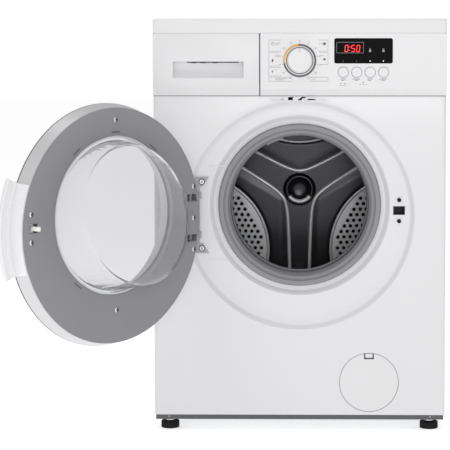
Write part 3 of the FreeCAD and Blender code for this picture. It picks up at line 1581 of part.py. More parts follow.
def counterweight_front():
    """Heavy arc on the lower front of the tub."""
    rear = tub_front - tub_wall
    return sector(0, opening_z, front_weight_outer, front_weight_inner,
                  -90 - front_weight_half_angle, -90 + front_weight_half_angle,
                  rear - front_weight_depth, rear)


def gasket():
    """Rubber bellows between the front panel's lip and the tub's neck."""
    lip = recess_depth + collar_depth
    outer = lip_radius - gasket_gap
    neck = tub_neck_outer + gasket_gap
    neck_rear = tub_front - tub_wall
    neck_front = neck_rear - tub_neck_length
    grip = [(outer, lip - gasket_ahead / 2), (outer, lip + gasket_grip)]
    over = [(outer - gasket_wall, lip + gasket_grip + gasket_fold),
            (outer - gasket_wall, neck_front - gasket_wall),
            (neck + gasket_wall, neck_front), (neck + gasket_wall, neck_rear)]
    under = [(neck, neck_rear), (neck, neck_front - gasket_wall),
             (outer - 2 * gasket_wall, neck_front - 2 * gasket_wall),
             (outer - 2 * gasket_wall, lip + gasket_grip + 2 * gasket_fold)]
    mouth = [(gasket_mouth + gasket_lip_width, lip + gasket_lip_rear + gasket_lip_thickness),
             (gasket_mouth, lip + gasket_lip_rear),
             (gasket_mouth, lip + gasket_lip_rear - gasket_lip_thickness),
             (gasket_mouth + gasket_lip_thickness, lip),
             (gasket_face, lip - gasket_ahead)]
    return turned(grip + over + under + mouth, 0, opening_z)


def spring_places():
    return [(side * spring_x, depth) for side in (-1, 1) for depth in spring_depths]


def suspension_springs():
    """Outer shape of the four coil springs that the tub hangs from."""
    top = case_top - rail_wall
    return Part.makeCompound([
        rod_z(x, depth, spring_radius, spring_bottom, top).cut(
            rod_z(x, depth, spring_radius - spring_wire, spring_bottom - 1, top + 1))
        for x, depth in spring_places()])


def damper_cylinders():
    """Friction damper bodies that stand on the base."""
    made = []
    for side in (-1, 1):
        x = side * damper_x
        tube = rod_z(x, damper_depth, damper_outer, damper_bottom, damper_top)
        eye = box(x - damper_eye, x + damper_eye, damper_depth - damper_eye,
                  damper_depth + damper_eye, panel_bottom, damper_bottom)
        bore = rod_z(x, damper_depth, damper_rod_radius + pin_clearance, damper_bottom,
                     damper_top + 1)
        made.append(fused([tube, eye]).cut(bore))
    return Part.makeCompound(made)


def damper_rods():
    """Damper plungers that carry the tub's lugs."""
    low = damper_bottom + 2 * tub_travel + damper_end_gap
    return Part.makeCompound([
        rod_z(side * damper_x, damper_depth, damper_rod_radius, low, damper_lug_bottom())
        for side in (-1, 1)])


# ---------------------------------------------------------------------------------------------
# All pieces
# ---------------------------------------------------------------------------------------------
def build():
    os.makedirs("parts", exist_ok=True)
    save("side_panel_right", side_panel())
    save("side_panel_left", mirrored(side_panel()))
    for make in (rear_panel, rear_cover, cabinet_screws, front_panel, worktop, top_frame,
                 base_frame, plinth_strip, feet, foot_locknuts, control_fascia, display_window,
                 control_board, knob, drawer_front, drawer_tray, dispenser_housing,
                 dispenser_hose, inlet_valve, inlet_hose, mains_inlet, hinge_bracket, door_lock,
                 filter_flap, filter_cap, drain_pump, drain_hose, sump_hose, damper_cylinders,
                 damper_rods, suspension_springs, gasket, tub_screws, bearings, drum_shell,
                 drum_back_wall, drum_lifters, drum_spider, drum_pulley, motor_body, motor_rotor,
                 drive_belt, heater, counterweight_top, counterweight_front):
        save(make.__name__, make())
    save("tub_front", tub_front_half())
    save("tub_rear", tub_rear_half())
    for number, x in enumerate(button_xs, start=1):
        save("button_" + str(number), button(x))
    for make in (door_frame, door_inner_ring, door_glass, door_handle, door_pins, door_screws,
                 door_hook):
        save(make.__name__, door_opened(make()))


build()
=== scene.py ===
"""Front load washing machine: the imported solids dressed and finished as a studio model.

Forms are shaped in millimetres as (x, depth behind the front panel's face, z) and are put into the
row frame, in metres, when they become pieces. Pieces of the door are shaped with the door shut and
are swung open with it.
"""

import json
import logging
import math
from dataclasses import dataclass, field
from enum import Enum
from typing import Callable, Iterable, Sequence

import bmesh
import bpy
from mathutils import Matrix, Vector


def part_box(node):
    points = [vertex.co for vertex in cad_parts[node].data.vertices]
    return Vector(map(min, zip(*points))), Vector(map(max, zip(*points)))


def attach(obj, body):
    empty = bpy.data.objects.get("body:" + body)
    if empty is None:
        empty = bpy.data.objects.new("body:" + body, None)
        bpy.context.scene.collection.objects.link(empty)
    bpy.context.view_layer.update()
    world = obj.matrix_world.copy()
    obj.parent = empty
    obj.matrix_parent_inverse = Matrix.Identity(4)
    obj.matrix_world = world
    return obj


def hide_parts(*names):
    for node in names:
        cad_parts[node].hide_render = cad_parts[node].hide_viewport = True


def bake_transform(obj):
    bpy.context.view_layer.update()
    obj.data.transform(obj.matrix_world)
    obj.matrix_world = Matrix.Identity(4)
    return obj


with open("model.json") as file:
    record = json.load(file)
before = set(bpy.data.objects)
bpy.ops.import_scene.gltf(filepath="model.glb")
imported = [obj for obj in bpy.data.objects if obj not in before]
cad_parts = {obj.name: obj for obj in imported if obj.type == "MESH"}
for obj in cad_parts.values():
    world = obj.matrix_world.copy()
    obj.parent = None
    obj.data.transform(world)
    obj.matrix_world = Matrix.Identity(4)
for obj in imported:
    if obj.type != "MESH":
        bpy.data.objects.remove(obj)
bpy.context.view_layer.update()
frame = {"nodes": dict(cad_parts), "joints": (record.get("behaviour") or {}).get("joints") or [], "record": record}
LOG = logging.getLogger("washer")
MM = 0.001
FULL_TURN = 360.0

Colour = tuple[float, float, float]
Corner = tuple[float, float, float]
Point = tuple[float, float]


class Pattern(Enum):
    """Surface patterns that a finish can carry."""

    PEEL = "slight waviness of sprayed enamel"
    GRAIN = "fine eroded grain of moulded plastic"
    BRUSHED = "drawn lines of rolled sheet"
    CAST = "lumpy skin of sand castings and concrete"
    SPANGLE = "crystals of a zinc coat"
    RUBBER = "soft bloom of moulded rubber"
    CLEAR = "polished glass with faint wipe marks"
    GLOW = "lit segment"


@dataclass(frozen=True)
class Finish:
    """One procedural finish of the machine."""

    name: str
    colour: Colour
    roughness: float
    pattern: Pattern
    metallic: float = 0.0
    scale: float = 900.0
    bump: float = 0.08
    variation: float = 0.03
    stretch: Corner = (1.0, 1.0, 1.0)
    coat: float = 0.0
    transmission: float = 0.0
    glow: float = 0.0
    specular: float = 0.5
    ior: float = 1.45

    def material(self) -> bpy.types.Material:
        """Make the finish's node material once and hand it out.

        Returns:
            The material of this finish.
        """
        known = bpy.data.materials.get(self.name)
        if known is not None and known.get("washer_finish"):
            return known
        made = bpy.data.materials.new(self.name)
        made["washer_finish"] = True
        made.use_nodes = True
        made.diffuse_color = (*self.colour, 1.0)
        tree = made.node_tree
        shader = tree.nodes["Principled BSDF"]
        shader.inputs["Metallic"].default_value = self.metallic
        shader.inputs["Coat Weight"].default_value = self.coat
        shader.inputs["Coat Roughness"].default_value = 0.08
        shader.inputs["Transmission Weight"].default_value = self.transmission
        shader.inputs["Specular IOR Level"].default_value = self.specular
        shader.inputs["IOR"].default_value = self.ior
        if self.pattern is Pattern.GLOW:
            shader.inputs["Emission Color"].default_value = (*self.colour, 1.0)
            shader.inputs["Emission Strength"].default_value = self.glow
        self._wire(tree, shader)
        return made

    def _wire(self, tree: bpy.types.NodeTree, shader: bpy.types.Node) -> None:
        """Drive colour, roughness and bump from the finish's pattern.

        Args:
            tree: Node tree of the material.
            shader: Its Principled shader.
        """
        coords = tree.nodes.new("ShaderNodeTexCoord")
        mapping = tree.nodes.new("ShaderNodeMapping")
        mapping.inputs["Scale"].default_value = self.stretch
        tree.links.new(coords.outputs["Object"], mapping.inputs["Vector"])
        fine = self._texture(tree, mapping.outputs["Vector"])
        broad = tree.nodes.new("ShaderNodeTexNoise")
        broad.inputs["Scale"].default_value = 7.0
        broad.inputs["Detail"].default_value = 4.0
        tree.links.new(mapping.outputs["Vector"], broad.inputs["Vector"])
        tint = tree.nodes.new("ShaderNodeMix")
        tint.data_type = "RGBA"
        tint.inputs["A"].default_value = (*[c * (1 - self.variation) for c in self.colour], 1.0)
        tint.inputs["B"].default_value = (*[min(1.0, c * (1 + self.variation)) for c in self.colour], 1.0)
        source = fine if self.pattern in (Pattern.SPANGLE, Pattern.BRUSHED, Pattern.CAST) else broad.outputs["Fac"]
        tree.links.new(source, tint.inputs["Factor"])
        tree.links.new(tint.outputs["Result"], shader.inputs["Base Color"])
        spread = tree.nodes.new("ShaderNodeMapRange")
        spread.inputs["To Min"].default_value = max(0.0, self.roughness - 0.05)
        spread.inputs["To Max"].default_value = min(1.0, self.roughness + 0.05)
        tree.links.new(broad.outputs["Fac"], spread.inputs["Value"])
        if self.transmission > 0:
            shader.inputs["Roughness"].default_value = self.roughness
        else:
            tree.links.new(spread.outputs["Result"], shader.inputs["Roughness"])
        if self.bump > 0:
            bump = tree.nodes.new("ShaderNodeBump")
            bump.inputs["Strength"].default_value = self.bump
            bump.inputs["Distance"].default_value = 0.5 * MM
            tree.links.new(fine, bump.inputs["Height"])
            tree.links.new(bump.outputs["Normal"], shader.inputs["Normal"])

    def _texture(self, tree: bpy.types.NodeTree, vector: bpy.types.NodeSocket) -> bpy.types.NodeSocket:
        """Make the fine texture of the pattern.

        Args:
            tree: Node tree of the material.
            vector: Coordinates that the texture reads.

        Returns:
            The texture's value output.
        """
        if self.pattern in (Pattern.SPANGLE, Pattern.CAST):
            cells = tree.nodes.new("ShaderNodeTexVoronoi")
            cells.inputs["Scale"].default_value = self.scale
            tree.links.new(vector, cells.inputs["Vector"])
            if self.pattern is Pattern.CAST:
                return cells.outputs["Distance"]
            grey = tree.nodes.new("ShaderNodeSeparateColor")
            tree.links.new(cells.outputs["Color"], grey.inputs["Color"])
            return grey.outputs["Red"]
        noise = tree.nodes.new("ShaderNodeTexNoise")
        noise.inputs["Scale"].default_value = self.scale
        noise.inputs["Detail"].default_value = 2.0 if self.pattern is Pattern.PEEL else 6.0
        tree.links.new(vector, noise.inputs["Vector"])
        return noise.outputs["Fac"]


ENAMEL = Finish("white_enamel", (0.655, 0.653, 0.665), 0.32, Pattern.PEEL, scale=420.0, bump=0.05,
                variation=0.012, coat=0.25)
MOULDED_WHITE = Finish("moulded_white", (0.66, 0.658, 0.668), 0.34, Pattern.GRAIN, scale=1500.0,
                       bump=0.04, variation=0.012)
LAMINATE = Finish("white_laminate_top", (0.67, 0.668, 0.678), 0.42, Pattern.GRAIN, scale=1100.0,
                  bump=0.08, variation=0.015)
DOOR_WHITE = Finish("door_white_moulding", (0.74, 0.74, 0.75), 0.28, Pattern.GRAIN, scale=1500.0,
                    bump=0.03, variation=0.012, coat=0.2)
RING_GREY = Finish("matt_grey_moulding", (0.235, 0.233, 0.248), 0.55, Pattern.GRAIN, scale=1900.0,
                   bump=0.16, variation=0.03)
PLINTH = Finish("plinth_grey_moulding", (0.105, 0.105, 0.11), 0.6, Pattern.GRAIN, bump=0.12,
                specular=0.3)
DISPLAY = Finish("dark_window", (0.004, 0.004, 0.0045), 0.24, Pattern.CLEAR, scale=60.0, bump=0.0,
                 variation=0.1, specular=0.02)
BOARD = Finish("potted_board", (0.08, 0.16, 0.09), 0.5, Pattern.GRAIN, scale=500.0, bump=0.2,
               variation=0.2)
DRAWER_GREY = Finish("pale_drawer_plastic", (0.62, 0.63, 0.65), 0.4, Pattern.GRAIN, bump=0.08)
TUB_GREY = Finish("filled_tub_plastic", (0.40, 0.41, 0.43), 0.6, Pattern.GRAIN, scale=350.0,
                  bump=0.25, variation=0.08)
VALVE = Finish("valve_plastic_ivory", (0.72, 0.71, 0.66), 0.45, Pattern.GRAIN, bump=0.1)
BLACK = Finish("black_moulding", (0.018, 0.018, 0.019), 0.5, Pattern.GRAIN, bump=0.15,
               variation=0.15)
FOOT = Finish("foot_rubber_black", (0.01, 0.01, 0.01), 0.75, Pattern.RUBBER, scale=300.0,
              bump=0.3, variation=0.2, specular=0.2)
GASKET = Finish("gasket_rubber_grey", (0.232, 0.23, 0.243), 0.5, Pattern.RUBBER, scale=260.0,
                bump=0.12, variation=0.05)
HOSE_BLACK = Finish("hose_rubber_black", (0.03, 0.03, 0.03), 0.6, Pattern.RUBBER, scale=300.0,
                    bump=0.25, variation=0.15)
HOSE_GREY = Finish("hose_grey_rubber", (0.24, 0.24, 0.25), 0.55, Pattern.RUBBER, scale=300.0,
                   bump=0.2, variation=0.08)
ZINC = Finish("zinc_plate", (0.58, 0.58, 0.6), 0.3, Pattern.SPANGLE, 1.0, scale=260.0, bump=0.05,
              variation=0.08)
GALVANISED = Finish("galvanised_sheet", (0.55, 0.56, 0.57), 0.42, Pattern.SPANGLE, 0.85, scale=90.0,
                    bump=0.03, variation=0.08)
HINGE = Finish("hinge_casting", (0.33, 0.33, 0.345), 0.42, Pattern.CAST, 0.35, scale=1200.0,
               bump=0.12, variation=0.06)
SILVER = Finish("door_band_silver", (0.60, 0.60, 0.61), 0.34, Pattern.BRUSHED, 0.55, scale=700.0,
                bump=0.03, variation=0.03)
# Stainless given a near-black colour: painted shade standing in for the dark reflections inside the drum.
DRUM_STEEL_PAINTED_DARK = Finish("drum_stainless_painted_dark", (0.055, 0.054, 0.06), 0.2, Pattern.BRUSHED, 1.0,
                    scale=420.0, bump=0.03, variation=0.18, stretch=(1.0, 0.03, 1.0))
DRUM_LIP = Finish("drum_lip_stainless", (0.12, 0.12, 0.125), 0.35, Pattern.BRUSHED, 0.6,
                  scale=420.0, bump=0.02, variation=0.1)
# Back wall stainless made near black: painted shade standing in for its dark reflections, also used as the shaded
# copy of the field finish.
DRUM_BACK_PAINTED_DARK = Finish("drum_back_stainless_painted_dark", (0.032, 0.031, 0.035), 0.24, Pattern.BRUSHED, 0.7,
                   scale=300.0, bump=0.02, variation=0.22, stretch=(0.05, 1.0, 1.0))
# Near-white stainless on the beads, the cup rim and the hole rims: painted highlight along the pressed ridges.
DRUM_PAINTED_HIGHLIGHT = Finish("drum_bead_painted_highlight", (0.98, 0.98, 0.985), 0.25, Pattern.BRUSHED, 0.3,
                     scale=500.0, bump=0.02, variation=0.015, coat=0.3)
# Same stainless made light grey: painted light on the two lower perforated fields, the lit copy of the back wall's
# finish.
DRUM_FIELD_PAINTED_LIGHT = Finish("drum_field_stainless_painted_light", (0.72, 0.72, 0.74), 0.34, Pattern.BRUSHED, 0.3,
                    scale=300.0, bump=0.03, variation=0.12, stretch=(1.0, 1.0, 0.05))
# Near-black matt finish for dark discs and strips: painted shade where holes and gaps would show only shadow.
HOLE_SHADOW = Finish("hole_shadow", (0.004, 0.004, 0.004), 0.9, Pattern.RUBBER, bump=0.05)
SPRING = Finish("spring_steel_oiled", (0.22, 0.22, 0.23), 0.35, Pattern.BRUSHED, 1.0, bump=0.05)
WEIGHT = Finish("cast_concrete", (0.30, 0.30, 0.295), 0.85, Pattern.CAST, scale=420.0, bump=0.5,
                variation=0.25)
ALUMINIUM = Finish("sand_cast_aluminium", (0.55, 0.55, 0.56), 0.45, Pattern.CAST, 1.0, scale=700.0,
                   bump=0.3, variation=0.12)
MOTOR = Finish("motor_painted_steel", (0.17, 0.17, 0.18), 0.4, Pattern.PEEL, 0.7, scale=300.0,
               bump=0.1, variation=0.1)
BELT = Finish("belt_rubber_black", (0.02, 0.02, 0.02), 0.65, Pattern.RUBBER, scale=400.0, bump=0.3,
              variation=0.15)
GLASS = Finish("door_glass_clear", (0.76, 0.76, 0.775), 0.0, Pattern.CLEAR, scale=30.0, bump=0.0,
               variation=0.01, transmission=0.88, specular=0.7, ior=1.22)
NYLON = Finish("hook_nylon_white", (0.78, 0.78, 0.76), 0.4, Pattern.GRAIN, bump=0.08)
PRINT_DARK = Finish("print_dark_grey", (0.10, 0.10, 0.105), 0.5, Pattern.GRAIN, bump=0.02,
                    variation=0.1)
PRINT_LIGHT = Finish("print_light_grey", (0.30, 0.30, 0.31), 0.5, Pattern.GRAIN, bump=0.02,
                     variation=0.1)
PRINT_AMBER = Finish("print_amber", (0.72, 0.36, 0.06), 0.45, Pattern.GRAIN, bump=0.02,
                     variation=0.08)
# Dark and mid grey strips, rings and discs laid in gaps, slots and recesses: painted shade.
SEAM_SHADOW = Finish("seam_shadow_grey", (0.06, 0.06, 0.065), 0.6, Pattern.RUBBER, bump=0.05)
SEAM_SHADOW_SOFT = Finish("gap_shadow_grey", (0.22, 0.22, 0.23), 0.6, Pattern.RUBBER, bump=0.05)
LIT_RED = Finish("lit_segment_red", (0.9, 0.02, 0.02), 0.4, Pattern.GLOW, bump=0.0, glow=0.7)
LIT_WHITE = Finish("lit_dot_white", (0.8, 0.8, 0.82), 0.4, Pattern.GLOW, bump=0.0, glow=0.5)
# Unlit dots given a faint emission: painted glow on parts that are no lamp.
UNLIT_DOT_GLOW = Finish("unlit_dot_painted_glow", (0.16, 0.16, 0.17), 0.4, Pattern.GLOW, bump=0.0, glow=0.04)

SLOT_FINISH: dict[str, Finish] = {
    "painted_panel": ENAMEL, "galvanised": GALVANISED, "white_laminate": LAMINATE,
    "white_gloss": MOULDED_WHITE, "door_white": DOOR_WHITE, "grey_ring": RING_GREY,
    "plinth_grey": PLINTH, "display_black": DISPLAY, "board_grey": BOARD,
    "drawer_grey": DRAWER_GREY, "tub_plastic": TUB_GREY, "valve_plastic": VALVE,
    "black_plastic": BLACK, "foot_black": FOOT, "gasket_rubber": GASKET,
    "hose_rubber": HOSE_BLACK, "hose_grey": HOSE_GREY, "zinc_steel": ZINC,
    "hinge_metal": HINGE, "stainless": DRUM_STEEL_PAINTED_DARK, "spring_steel": SPRING,
    "cast_weight": WEIGHT, "cast_aluminium": ALUMINIUM, "motor_steel": MOTOR,
    "belt_rubber": BELT, "clear_glass": GLASS, "hook_white": NYLON,
}


def rounded_profile(corners: Sequence[Corner], steps: int = 5) -> list[Point]:
    """Round the inner corners of a profile.

    Args:
        corners: (radius, depth, fillet) of each corner; the fillet is 0 for a sharp one.
        steps: Straight pieces that stand for one fillet.

    Returns:
        (radius, depth) points of the rounded line.
    """
    line: list[Point] = []
    for index, (radius, depth, fillet) in enumerate(corners):
        here = Vector((radius, depth))
        if fillet <= 0 or index in (0, len(corners) - 1):
            line.append((radius, depth))
            continue
        before = (Vector(corners[index - 1][:2]) - here).normalized()
        after = (Vector(corners[index + 1][:2]) - here).normalized()
        half = before.angle(after) / 2
        reach = fillet / math.tan(half)
        middle = here + (before + after).normalized() * (fillet / math.sin(half))
        start, end = here + before * reach - middle, here + after * reach - middle
        turn = start.angle_signed(end)
        for step in range(steps + 1):
            arm = start.copy()
            arm.rotate(Matrix.Rotation(-turn * step / steps, 2))
            line.append(tuple(middle + arm))
    return line


def polar(radius: float, degrees: float) -> Point:
    """Return the (x, z) offset at an angle counted from +X towards +Z."""
    return radius * math.cos(math.radians(degrees)), radius * math.sin(math.radians(degrees))


class Form:
    """A mesh in the making, in millimetres as (x, depth, z)."""

    def __init__(self) -> None:
        """Start with nothing."""
        self.bm = bmesh.new()

    def box(self, x: Point, depth: Point, z: Point, round_edges: float = 0.0, segments: int = 2) -> "Form":
        """Add a block.

        Args:
            x: Left and right.
            depth: Front and rear.
            z: Bottom and top.
            round_edges: Radius along all of its edges.
            segments: Steps of that rounding.

        Returns:
            The form itself.
        """
        made = bmesh.ops.create_cube(self.bm, size=1.0)["verts"]
        size = Vector((x[1] - x[0], depth[1] - depth[0], z[1] - z[0]))
        centre = Vector(((x[0] + x[1]) / 2, (depth[0] + depth[1]) / 2, (z[0] + z[1]) / 2))
        bmesh.ops.scale(self.bm, vec=size, verts=made)
        bmesh.ops.translate(self.bm, vec=centre, verts=made)
        if round_edges > 0:
            self.bevel({e for v in made for e in v.link_edges}, round_edges, segments)
        return self

    def disc(self, x: float, z: float, radius: float, depth: Point, sides: int = 24) -> "Form":
        """Add a round plug along Y.

        Args:
            x: Its axis.
            z: Its axis.
            radius: Its radius.
            depth: Front and rear.
            sides: Facets round it.

        Returns:
            The form itself.
        """
        turn = Matrix.Translation((x, sum(depth) / 2, z)) @ Matrix.Rotation(math.pi / 2, 4, "X")
        bmesh.ops.create_cone(self.bm, cap_ends=True, segments=sides, radius1=radius, radius2=radius,
                              depth=depth[1] - depth[0], matrix=turn)
        return self

    def lathe(self, profile: Sequence[Point], x: float = 0.0, z: float = 0.0, start: float = 0.0,
              sweep: float = FULL_TURN, steps: int = 128, closed: bool = True) -> "Form":
        """Turn a profile about a Y line.

        Args:
            profile: (radius, depth) points.
            x: The line's place.
            z: The line's place.
            start: First angle, from +X towards +Z.
            sweep: Degrees turned.
            steps: Steps of the turn.
            closed: Whether the profile's ends are joined.

        Returns:
            The form itself.
        """
        full = sweep >= FULL_TURN
        verts = []
        for radius, depth in profile:
            dx, dz = polar(radius, start)
            verts.append(self.bm.verts.new((x + dx, depth, z + dz)))
        pairs = list(zip(verts, verts[1:])) + ([(verts[-1], verts[0])] if closed else [])
        edges = [self.bm.edges.new(pair) for pair in pairs]
        bmesh.ops.spin(self.bm, geom=verts + edges, cent=(x, 0.0, z), axis=(0.0, -1.0, 0.0),
                       angle=math.radians(sweep), steps=steps, use_merge=full)
        if closed and not full:
            rims = [e for e in self.bm.edges if e.is_boundary]
            bmesh.ops.holes_fill(self.bm, edges=rims, sides=0)
        if full:
            poles = [v for v in self.bm.verts if abs(v.co.x - x) < 1e-4 and abs(v.co.z - z) < 1e-4]
            bmesh.ops.remove_doubles(self.bm, verts=poles, dist=1e-3)
        return self

    def prism(self, outline: Sequence[Point], depth: Point) -> "Form":
        """Add a plate whose outline is given in (x, z).

        Args:
            outline: Corners in order.
            depth: Front and rear.

        Returns:
            The form itself.
        """
        face = self.bm.faces.new([self.bm.verts.new((x, depth[0], z)) for x, z in outline])
        grown = bmesh.ops.extrude_face_region(self.bm, geom=[face])["geom"]
        bmesh.ops.translate(self.bm, vec=(0.0, depth[1] - depth[0], 0.0),
                            verts=[g for g in grown if isinstance(g, bmesh.types.BMVert)])
        return self

    def bar_x(self, outline: Sequence[Point], x: Point) -> "Form":
        """Add a bar along X whose outline is given in (depth, z).

        Args:
            outline: Corners in order.
            x: Left and right.

        Returns:
            The form itself.
        """
        face = self.bm.faces.new([self.bm.verts.new((x[0], depth, z)) for depth, z in outline])
        grown = bmesh.ops.extrude_face_region(self.bm, geom=[face])["geom"]
        bmesh.ops.translate(self.bm, vec=(x[1] - x[0], 0.0, 0.0),
                            verts=[g for g in grown if isinstance(g, bmesh.types.BMVert)])
        return self

    def bevel(self, edges: Iterable[bmesh.types.BMEdge], offset: float, segments: int = 2) -> "Form":
        """Round edges.

        Args:
            edges: The edges.
            offset: Radius.
            segments: Steps of the rounding.

        Returns:
            The form itself.
        """
        bmesh.ops.bevel(self.bm, geom=list(edges), offset=offset, offset_type="OFFSET",
                        segments=segments, profile=0.5, affect="EDGES", material=-1)
        return self

    def edges_where(self, test: Callable[[Vector, Vector], bool]) -> list[bmesh.types.BMEdge]:
        """Return the edges whose two ends pass a test."""
        return [e for e in self.bm.edges if test(e.verts[0].co, e.verts[1].co)]

    def tidy(self) -> "Form":
        """Merge doubles and turn every face outwards."""
        bmesh.ops.remove_doubles(self.bm, verts=self.bm.verts[:], dist=1e-4)
        bmesh.ops.recalc_face_normals(self.bm, faces=self.bm.faces[:])
        return self


@dataclass
class Workshop:
    """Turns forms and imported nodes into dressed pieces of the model."""

    front: float
    pivot: Vector
    swing: float
    count: int = 0

    def _place(self, on_door: bool) -> Matrix:
        """Return the move from a form's millimetres to the row frame."""
        place = Matrix.Translation((0.0, self.front, 0.0)) @ Matrix.Scale(MM, 4)
        if on_door:
            turn = Matrix.Rotation(-self.swing, 4, "Z")
            place = Matrix.Translation(self.pivot) @ turn @ Matrix.Translation(-self.pivot) @ place
        return place

    def _object(self, bm: bmesh.types.BMesh, name: str, smooth: float) -> bpy.types.Object:
        """Make an object of a mesh, shaded smooth up to an angle.

        Args:
            bm: The mesh, in the row frame.
            name: Name of the object.
            smooth: Largest angle in degrees that is shaded smooth.

        Returns:
            The new object.
        """
        mesh = bpy.data.meshes.new(name)
        bm.to_mesh(mesh)
        bm.free()
        mesh.polygons.foreach_set("use_smooth", [True] * len(mesh.polygons))
        mesh.set_sharp_from_angle(angle=math.radians(smooth))
        made = bpy.data.objects.new(name, mesh)
        bpy.context.scene.collection.objects.link(made)
        return made

    def _dress(self, made: bpy.types.Object, body: str, finish: Finish, replaces: Sequence[str]) -> bpy.types.Object:
        """Give a piece its finish, its body and what it stands for.

        Args:
            made: The piece.
            body: Body that it rides on.
            finish: Its finish.
            replaces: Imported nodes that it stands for.

        Returns:
            The piece.
        """
        made.data.materials.clear()
        made.data.materials.append(finish.material())
        if body:
            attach(made, body)
        if replaces:
            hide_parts(*replaces)
        self.count += 1
        LOG.info("piece %s on %s", made.name, body or "two bodies")
        return made

    def piece(self, form: Form, name: str, body: str, finish: Finish, replaces: Sequence[str] = (),
              slot: str = "", on_door: bool = False, smooth: float = 35.0) -> bpy.types.Object:
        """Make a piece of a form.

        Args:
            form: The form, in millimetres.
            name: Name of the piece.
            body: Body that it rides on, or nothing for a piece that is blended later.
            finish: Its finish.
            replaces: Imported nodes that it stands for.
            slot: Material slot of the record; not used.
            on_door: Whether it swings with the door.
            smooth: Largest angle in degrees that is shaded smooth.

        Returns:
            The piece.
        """
        bmesh.ops.transform(form.bm, matrix=self._place(on_door), verts=form.bm.verts[:])
        return self._dress(self._object(form.bm, name, smooth), body, finish, replaces)

    def carved(self, form: Form, cutters: Form, name: str, body: str, finish: Finish,
               replaces: Sequence[str] = (), slot: str = "", on_door: bool = False,
               edge: float = 0.0) -> bpy.types.Object:
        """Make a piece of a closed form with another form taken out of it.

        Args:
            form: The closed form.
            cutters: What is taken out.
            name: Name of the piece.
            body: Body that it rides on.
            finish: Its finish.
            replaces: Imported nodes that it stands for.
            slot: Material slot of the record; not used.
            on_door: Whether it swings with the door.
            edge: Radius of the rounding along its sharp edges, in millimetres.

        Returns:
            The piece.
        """
        for one in (form, cutters):
            bmesh.ops.transform(one.bm, matrix=self._place(on_door), verts=one.bm.verts[:])
        whole = self._object(form.bm, name + "_whole", 35.0)
        tool = self._object(cutters.bm, name + "_tool", 35.0)
        cut = whole.modifiers.new("Cut", "BOOLEAN")
        cut.operation, cut.solver, cut.object = "DIFFERENCE", "EXACT", tool
        graph = bpy.context.evaluated_depsgraph_get()
        result = bmesh.new()
        evaluated = whole.evaluated_get(graph)
        result.from_mesh(evaluated.to_mesh())
        for spare in (whole, tool):
            bpy.data.objects.remove(spare)
        bmesh.ops.remove_doubles(result, verts=result.verts[:], dist=1e-6)
        made = self._object(result, name, 35.0)
        if edge > 0:
            self.ease(made, edge)
        return self._dress(made, body, finish, replaces)

    def ease(self, made: bpy.types.Object, width: float, segments: int = 2, angle: float = 34.0) -> None:
        """Round the sharp edges of a piece.

        Args:
            made: The piece.
            width: Radius in millimetres.
            segments: Steps of the rounding.
            angle: Sharpest angle in degrees that stays as it is.
        """
        edge = made.modifiers.new("Eased edges", "BEVEL")
        edge.width = width * MM
        edge.segments = segments
        edge.limit_method = "ANGLE"
        edge.angle_limit = math.radians(angle)
        edge.harden_normals = True
        edge.use_clamp_overlap = True

    def eased_node(self, node: str, body: str, finish: Finish, width: float, slot: str = "",
                   segments: int = 2) -> bpy.types.Object:
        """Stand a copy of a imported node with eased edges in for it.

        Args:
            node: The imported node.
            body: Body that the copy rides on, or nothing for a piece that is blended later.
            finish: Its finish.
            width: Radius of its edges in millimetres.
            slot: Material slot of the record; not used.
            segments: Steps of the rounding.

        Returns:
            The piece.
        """
        bm = bmesh.new()
        bm.from_mesh(frame["nodes"][node].data)
        bmesh.ops.remove_doubles(bm, verts=bm.verts[:], dist=2e-6)
        bmesh.ops.dissolve_limit(bm, angle_limit=math.radians(0.6), use_dissolve_boundaries=False,
                                 verts=bm.verts[:], edges=bm.edges[:], delimit={"NORMAL"})
        made = self._object(bm, node + "_eased", 32.0)
        if width > 0:
            self.ease(made, width, segments)
        return self._dress(made, body, finish, (node,))

    def label(self, text: str, name: str, body: str, finish: Finish, place: Corner, size: float,
              thickness: float = 0.12, centred: bool = True) -> bpy.types.Object:
        """Print a number on a front face.

        Args:
            text: Its digits.
            name: Name of the piece.
            body: Body that it rides on.
            finish: Its finish.
            place: (x, depth of its front, z) of its middle.
            size: Height of the type in millimetres.
            thickness: How far the print stands up.
            centred: Whether place is its middle and not its left end.

        Returns:
            The piece.
        """
        curve = bpy.data.curves.new(name, "FONT")
        curve.body = text
        curve.size = size
        curve.extrude = thickness / 2
        curve.resolution_u = 2
        curve.align_x = "CENTER" if centred else "LEFT"
        curve.align_y = "CENTER"
        spare = bpy.data.objects.new(name + "_type", curve)
        bpy.context.scene.collection.objects.link(spare)
        graph = bpy.context.evaluated_depsgraph_get()
        form = Form()
        form.bm.from_mesh(spare.evaluated_get(graph).to_mesh())
        bpy.data.objects.remove(spare)
        turn = Matrix.Translation((place[0], place[1] + thickness / 2, place[2])) @ Matrix.Rotation(
            math.pi / 2, 4, "X")
        bmesh.ops.transform(form.bm, matrix=turn, verts=form.bm.verts[:])
        return self.piece(form, name, body, finish)


